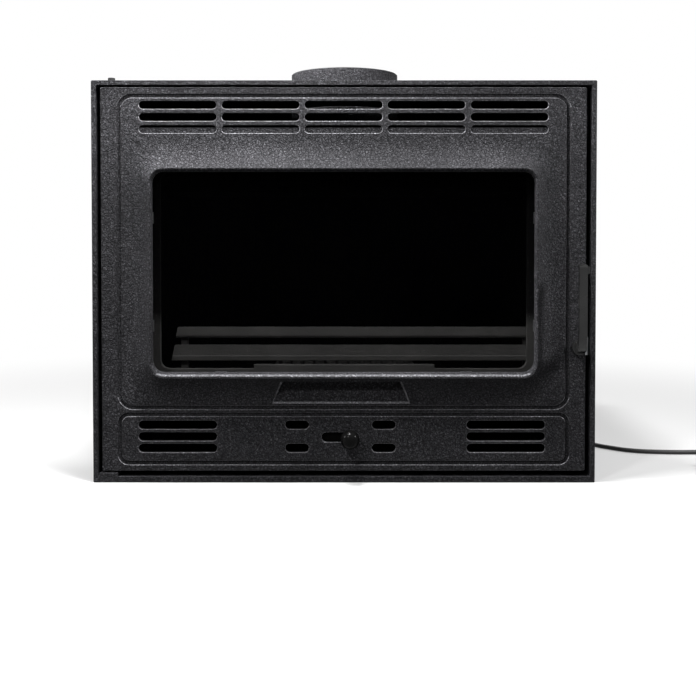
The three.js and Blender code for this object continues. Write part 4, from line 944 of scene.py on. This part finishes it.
# ---------------------------------------------------------------- carried-over nodes
ROUND = {
    "front_frame": 0.9, "flue_collar": 0.0, "log_guard": 1.0, "door_handle": 1.3,
    "firebox_front": 1.2, "fire_grate": 1.0, "firebox_left": 1.2, "firebox_right": 1.2,
    "firebox_back": 1.2, "firebox_floor": 1.0, "firebox_roof": 1.0, "baffle_plate": 1.5,
    "casing_left": 0.5, "casing_right": 0.5, "casing_top": 0.5, "casing_base": 0.5,
    "casing_back": 0.5, "fan_partition": 0.4, "ash_box": 0.4, "ash_pan": 0.4, "fan_frame": 0.8,
    "fan_impeller": 0.3, "fan_guard": 0.4, "cord_gland": 0.5, "cord_tie": 0.3, "power_plug": 0.6,
    "glass_retainer": 0.3, "latch_tongue": 0.5, "latch_keeper": 0.5, "window_glass": 0.6,
}
for name, node in nodes.items():
    slot = node.data.materials[0].name.split(".")[0]
    node.material_slots[0].link = "OBJECT"
    node.material_slots[0].material = OWN_LOOKS.get(name, LOOKS[slot])
    soften(node, ROUND.get(name, SMALL_ROUND))

# ---------------------------------------------------------------- floor, light, world
ROOM_COLOUR, ROOM_LEVEL = (0.95, 0.97, 1), 0.02
FLOOR_HALF, FLOOR_Z = 9000, -0.3
FLOOR_SHOWN, FLOOR_BOUNCE = 0.4, 0.06  # tones: to the camera, and for the light it throws back
FADE_START, FADE_END, NEAR_GLOW = 0.55, 1.5, 0.35


def seen_directly(tree):
    """1 for what the camera sees itself, in a mirror or through glass, else 0."""
    path = tree.nodes.new("ShaderNodeLightPath")
    value = path.outputs["Is Camera Ray"]
    for ray in ("Is Glossy Ray", "Is Transmission Ray"):
        most = tree.nodes.new("ShaderNodeMath")
        most.operation = "MAXIMUM"
        tree.links.new(value, most.inputs[0])
        tree.links.new(path.outputs[ray], most.inputs[1])
        value = most.outputs[0]
    return value


def mixed(tree, factor, first, second):
    mix = tree.nodes.new("ShaderNodeMixShader")
    tree.links.new(factor, mix.inputs[0])
    tree.links.new(first.outputs[0], mix.inputs[1])
    tree.links.new(second.outputs[0], mix.inputs[2])
    return mix


def studio_world():
    """A dim room that shows white."""
    world = bpy.data.worlds.new("studio")
    world.use_nodes = True
    tree = world.node_tree
    tree.nodes.clear()
    room, white = (tree.nodes.new("ShaderNodeBackground") for _ in range(2))
    room.inputs["Color"].default_value = (*ROOM_COLOUR, 1)
    room.inputs["Strength"].default_value = ROOM_LEVEL
    white.inputs["Color"].default_value = (1, 1, 1, 1)
    out = tree.nodes.new("ShaderNodeOutputWorld")
    shown = mixed(tree, seen_directly(tree), room, white)
    tree.links.new(shown.outputs[0], out.inputs["Surface"])
    return world


def matt_floor(tree, level):
    matt = tree.nodes.new("ShaderNodeBsdfPrincipled")
    matt.inputs["Base Color"].default_value = (*grey(level), 1)
    matt.inputs["Roughness"].default_value = 0.9
    matt.inputs["Specular IOR Level"].default_value = 0.1
    return matt


def floor_look():
    """A pale floor that takes shadows and fades into white away from the object."""
    look = bpy.data.materials.new("floor_pale")
    look.use_nodes = True
    tree = look.node_tree
    tree.nodes.clear()
    glow = tree.nodes.new("ShaderNodeEmission")
    place = tree.nodes.new("ShaderNodeTexCoord")
    distance = tree.nodes.new("ShaderNodeVectorMath")
    distance.operation = "LENGTH"
    tree.links.new(place.outputs["Object"], distance.inputs[0])
    far = tree.nodes.new("ShaderNodeMapRange")
    far.interpolation_type = "SMOOTHSTEP"
    for socket, number in zip(RANGE, (FADE_START, FADE_END, NEAR_GLOW, 1)):
        far.inputs[socket].default_value = number
    tree.links.new(distance.outputs["Value"], far.inputs["Value"])
    shown = mixed(tree, far.outputs[0], matt_floor(tree, FLOOR_SHOWN), glow)
    whole = mixed(tree, seen_directly(tree), matt_floor(tree, FLOOR_BOUNCE), shown)
    out = tree.nodes.new("ShaderNodeOutputMaterial")
    tree.links.new(whole.outputs[0], out.inputs["Surface"])
    return look


scene.world = studio_world()
floor_corners = [(x * FLOOR_HALF, y * FLOOR_HALF, FLOOR_Z)
                 for x, y in ((-1, -1), (1, -1), (1, 1), (-1, 1))]
floor = mesh_from("floor", floor_corners, [(0, 1, 2, 3)])
floor.data.materials.append(floor_look())


def area_light(name, place, target, size, power):
    data = bpy.data.lights.new(name, "AREA")
    data.shape = "RECTANGLE"
    data.size, data.size_y = size
    data.energy = power
    obj = link(name, data)
    obj.location = place
    aim = Vector(target) - Vector(place)
    obj.rotation_euler = aim.to_track_quat("-Z", "Y").to_euler()
    obj.visible_camera = False


area_light("high", (-0.15, -0.36, 1.8), (0, -0.2, 0.3), (0.3, 0.14), 50)
area_light("near", (-0.15, -0.36, 0.9), (-0.05, -0.2, 0.4), (0.3, 0.1), 13.5)
area_light("near_left", (-0.9, -0.36, 0.64), (-0.1, -0.2, 0.35), (0.14, 0.2), 7.5)
area_light("near_right", (0.9, -0.36, 0.64), (0.1, -0.2, 0.35), (0.14, 0.2), 10)
area_light("key", (-0.62, -1.45, 1.30), (0, -0.2, 0.25), (0.16, 0.16), 20)
area_light("left", (-2.2, 0.4, 1.2), (0, 0, 0.25), (1.4, 1.2), 16)
area_light("right", (2.2, 0.4, 1.2), (0, 0, 0.25), (1.4, 1.2), 16)
area_light("rear", (0, 1.9, 1.5), (0, 0.2, 0.3), (2.0, 1.0), 26)

scene.view_settings.view_transform = "Standard"
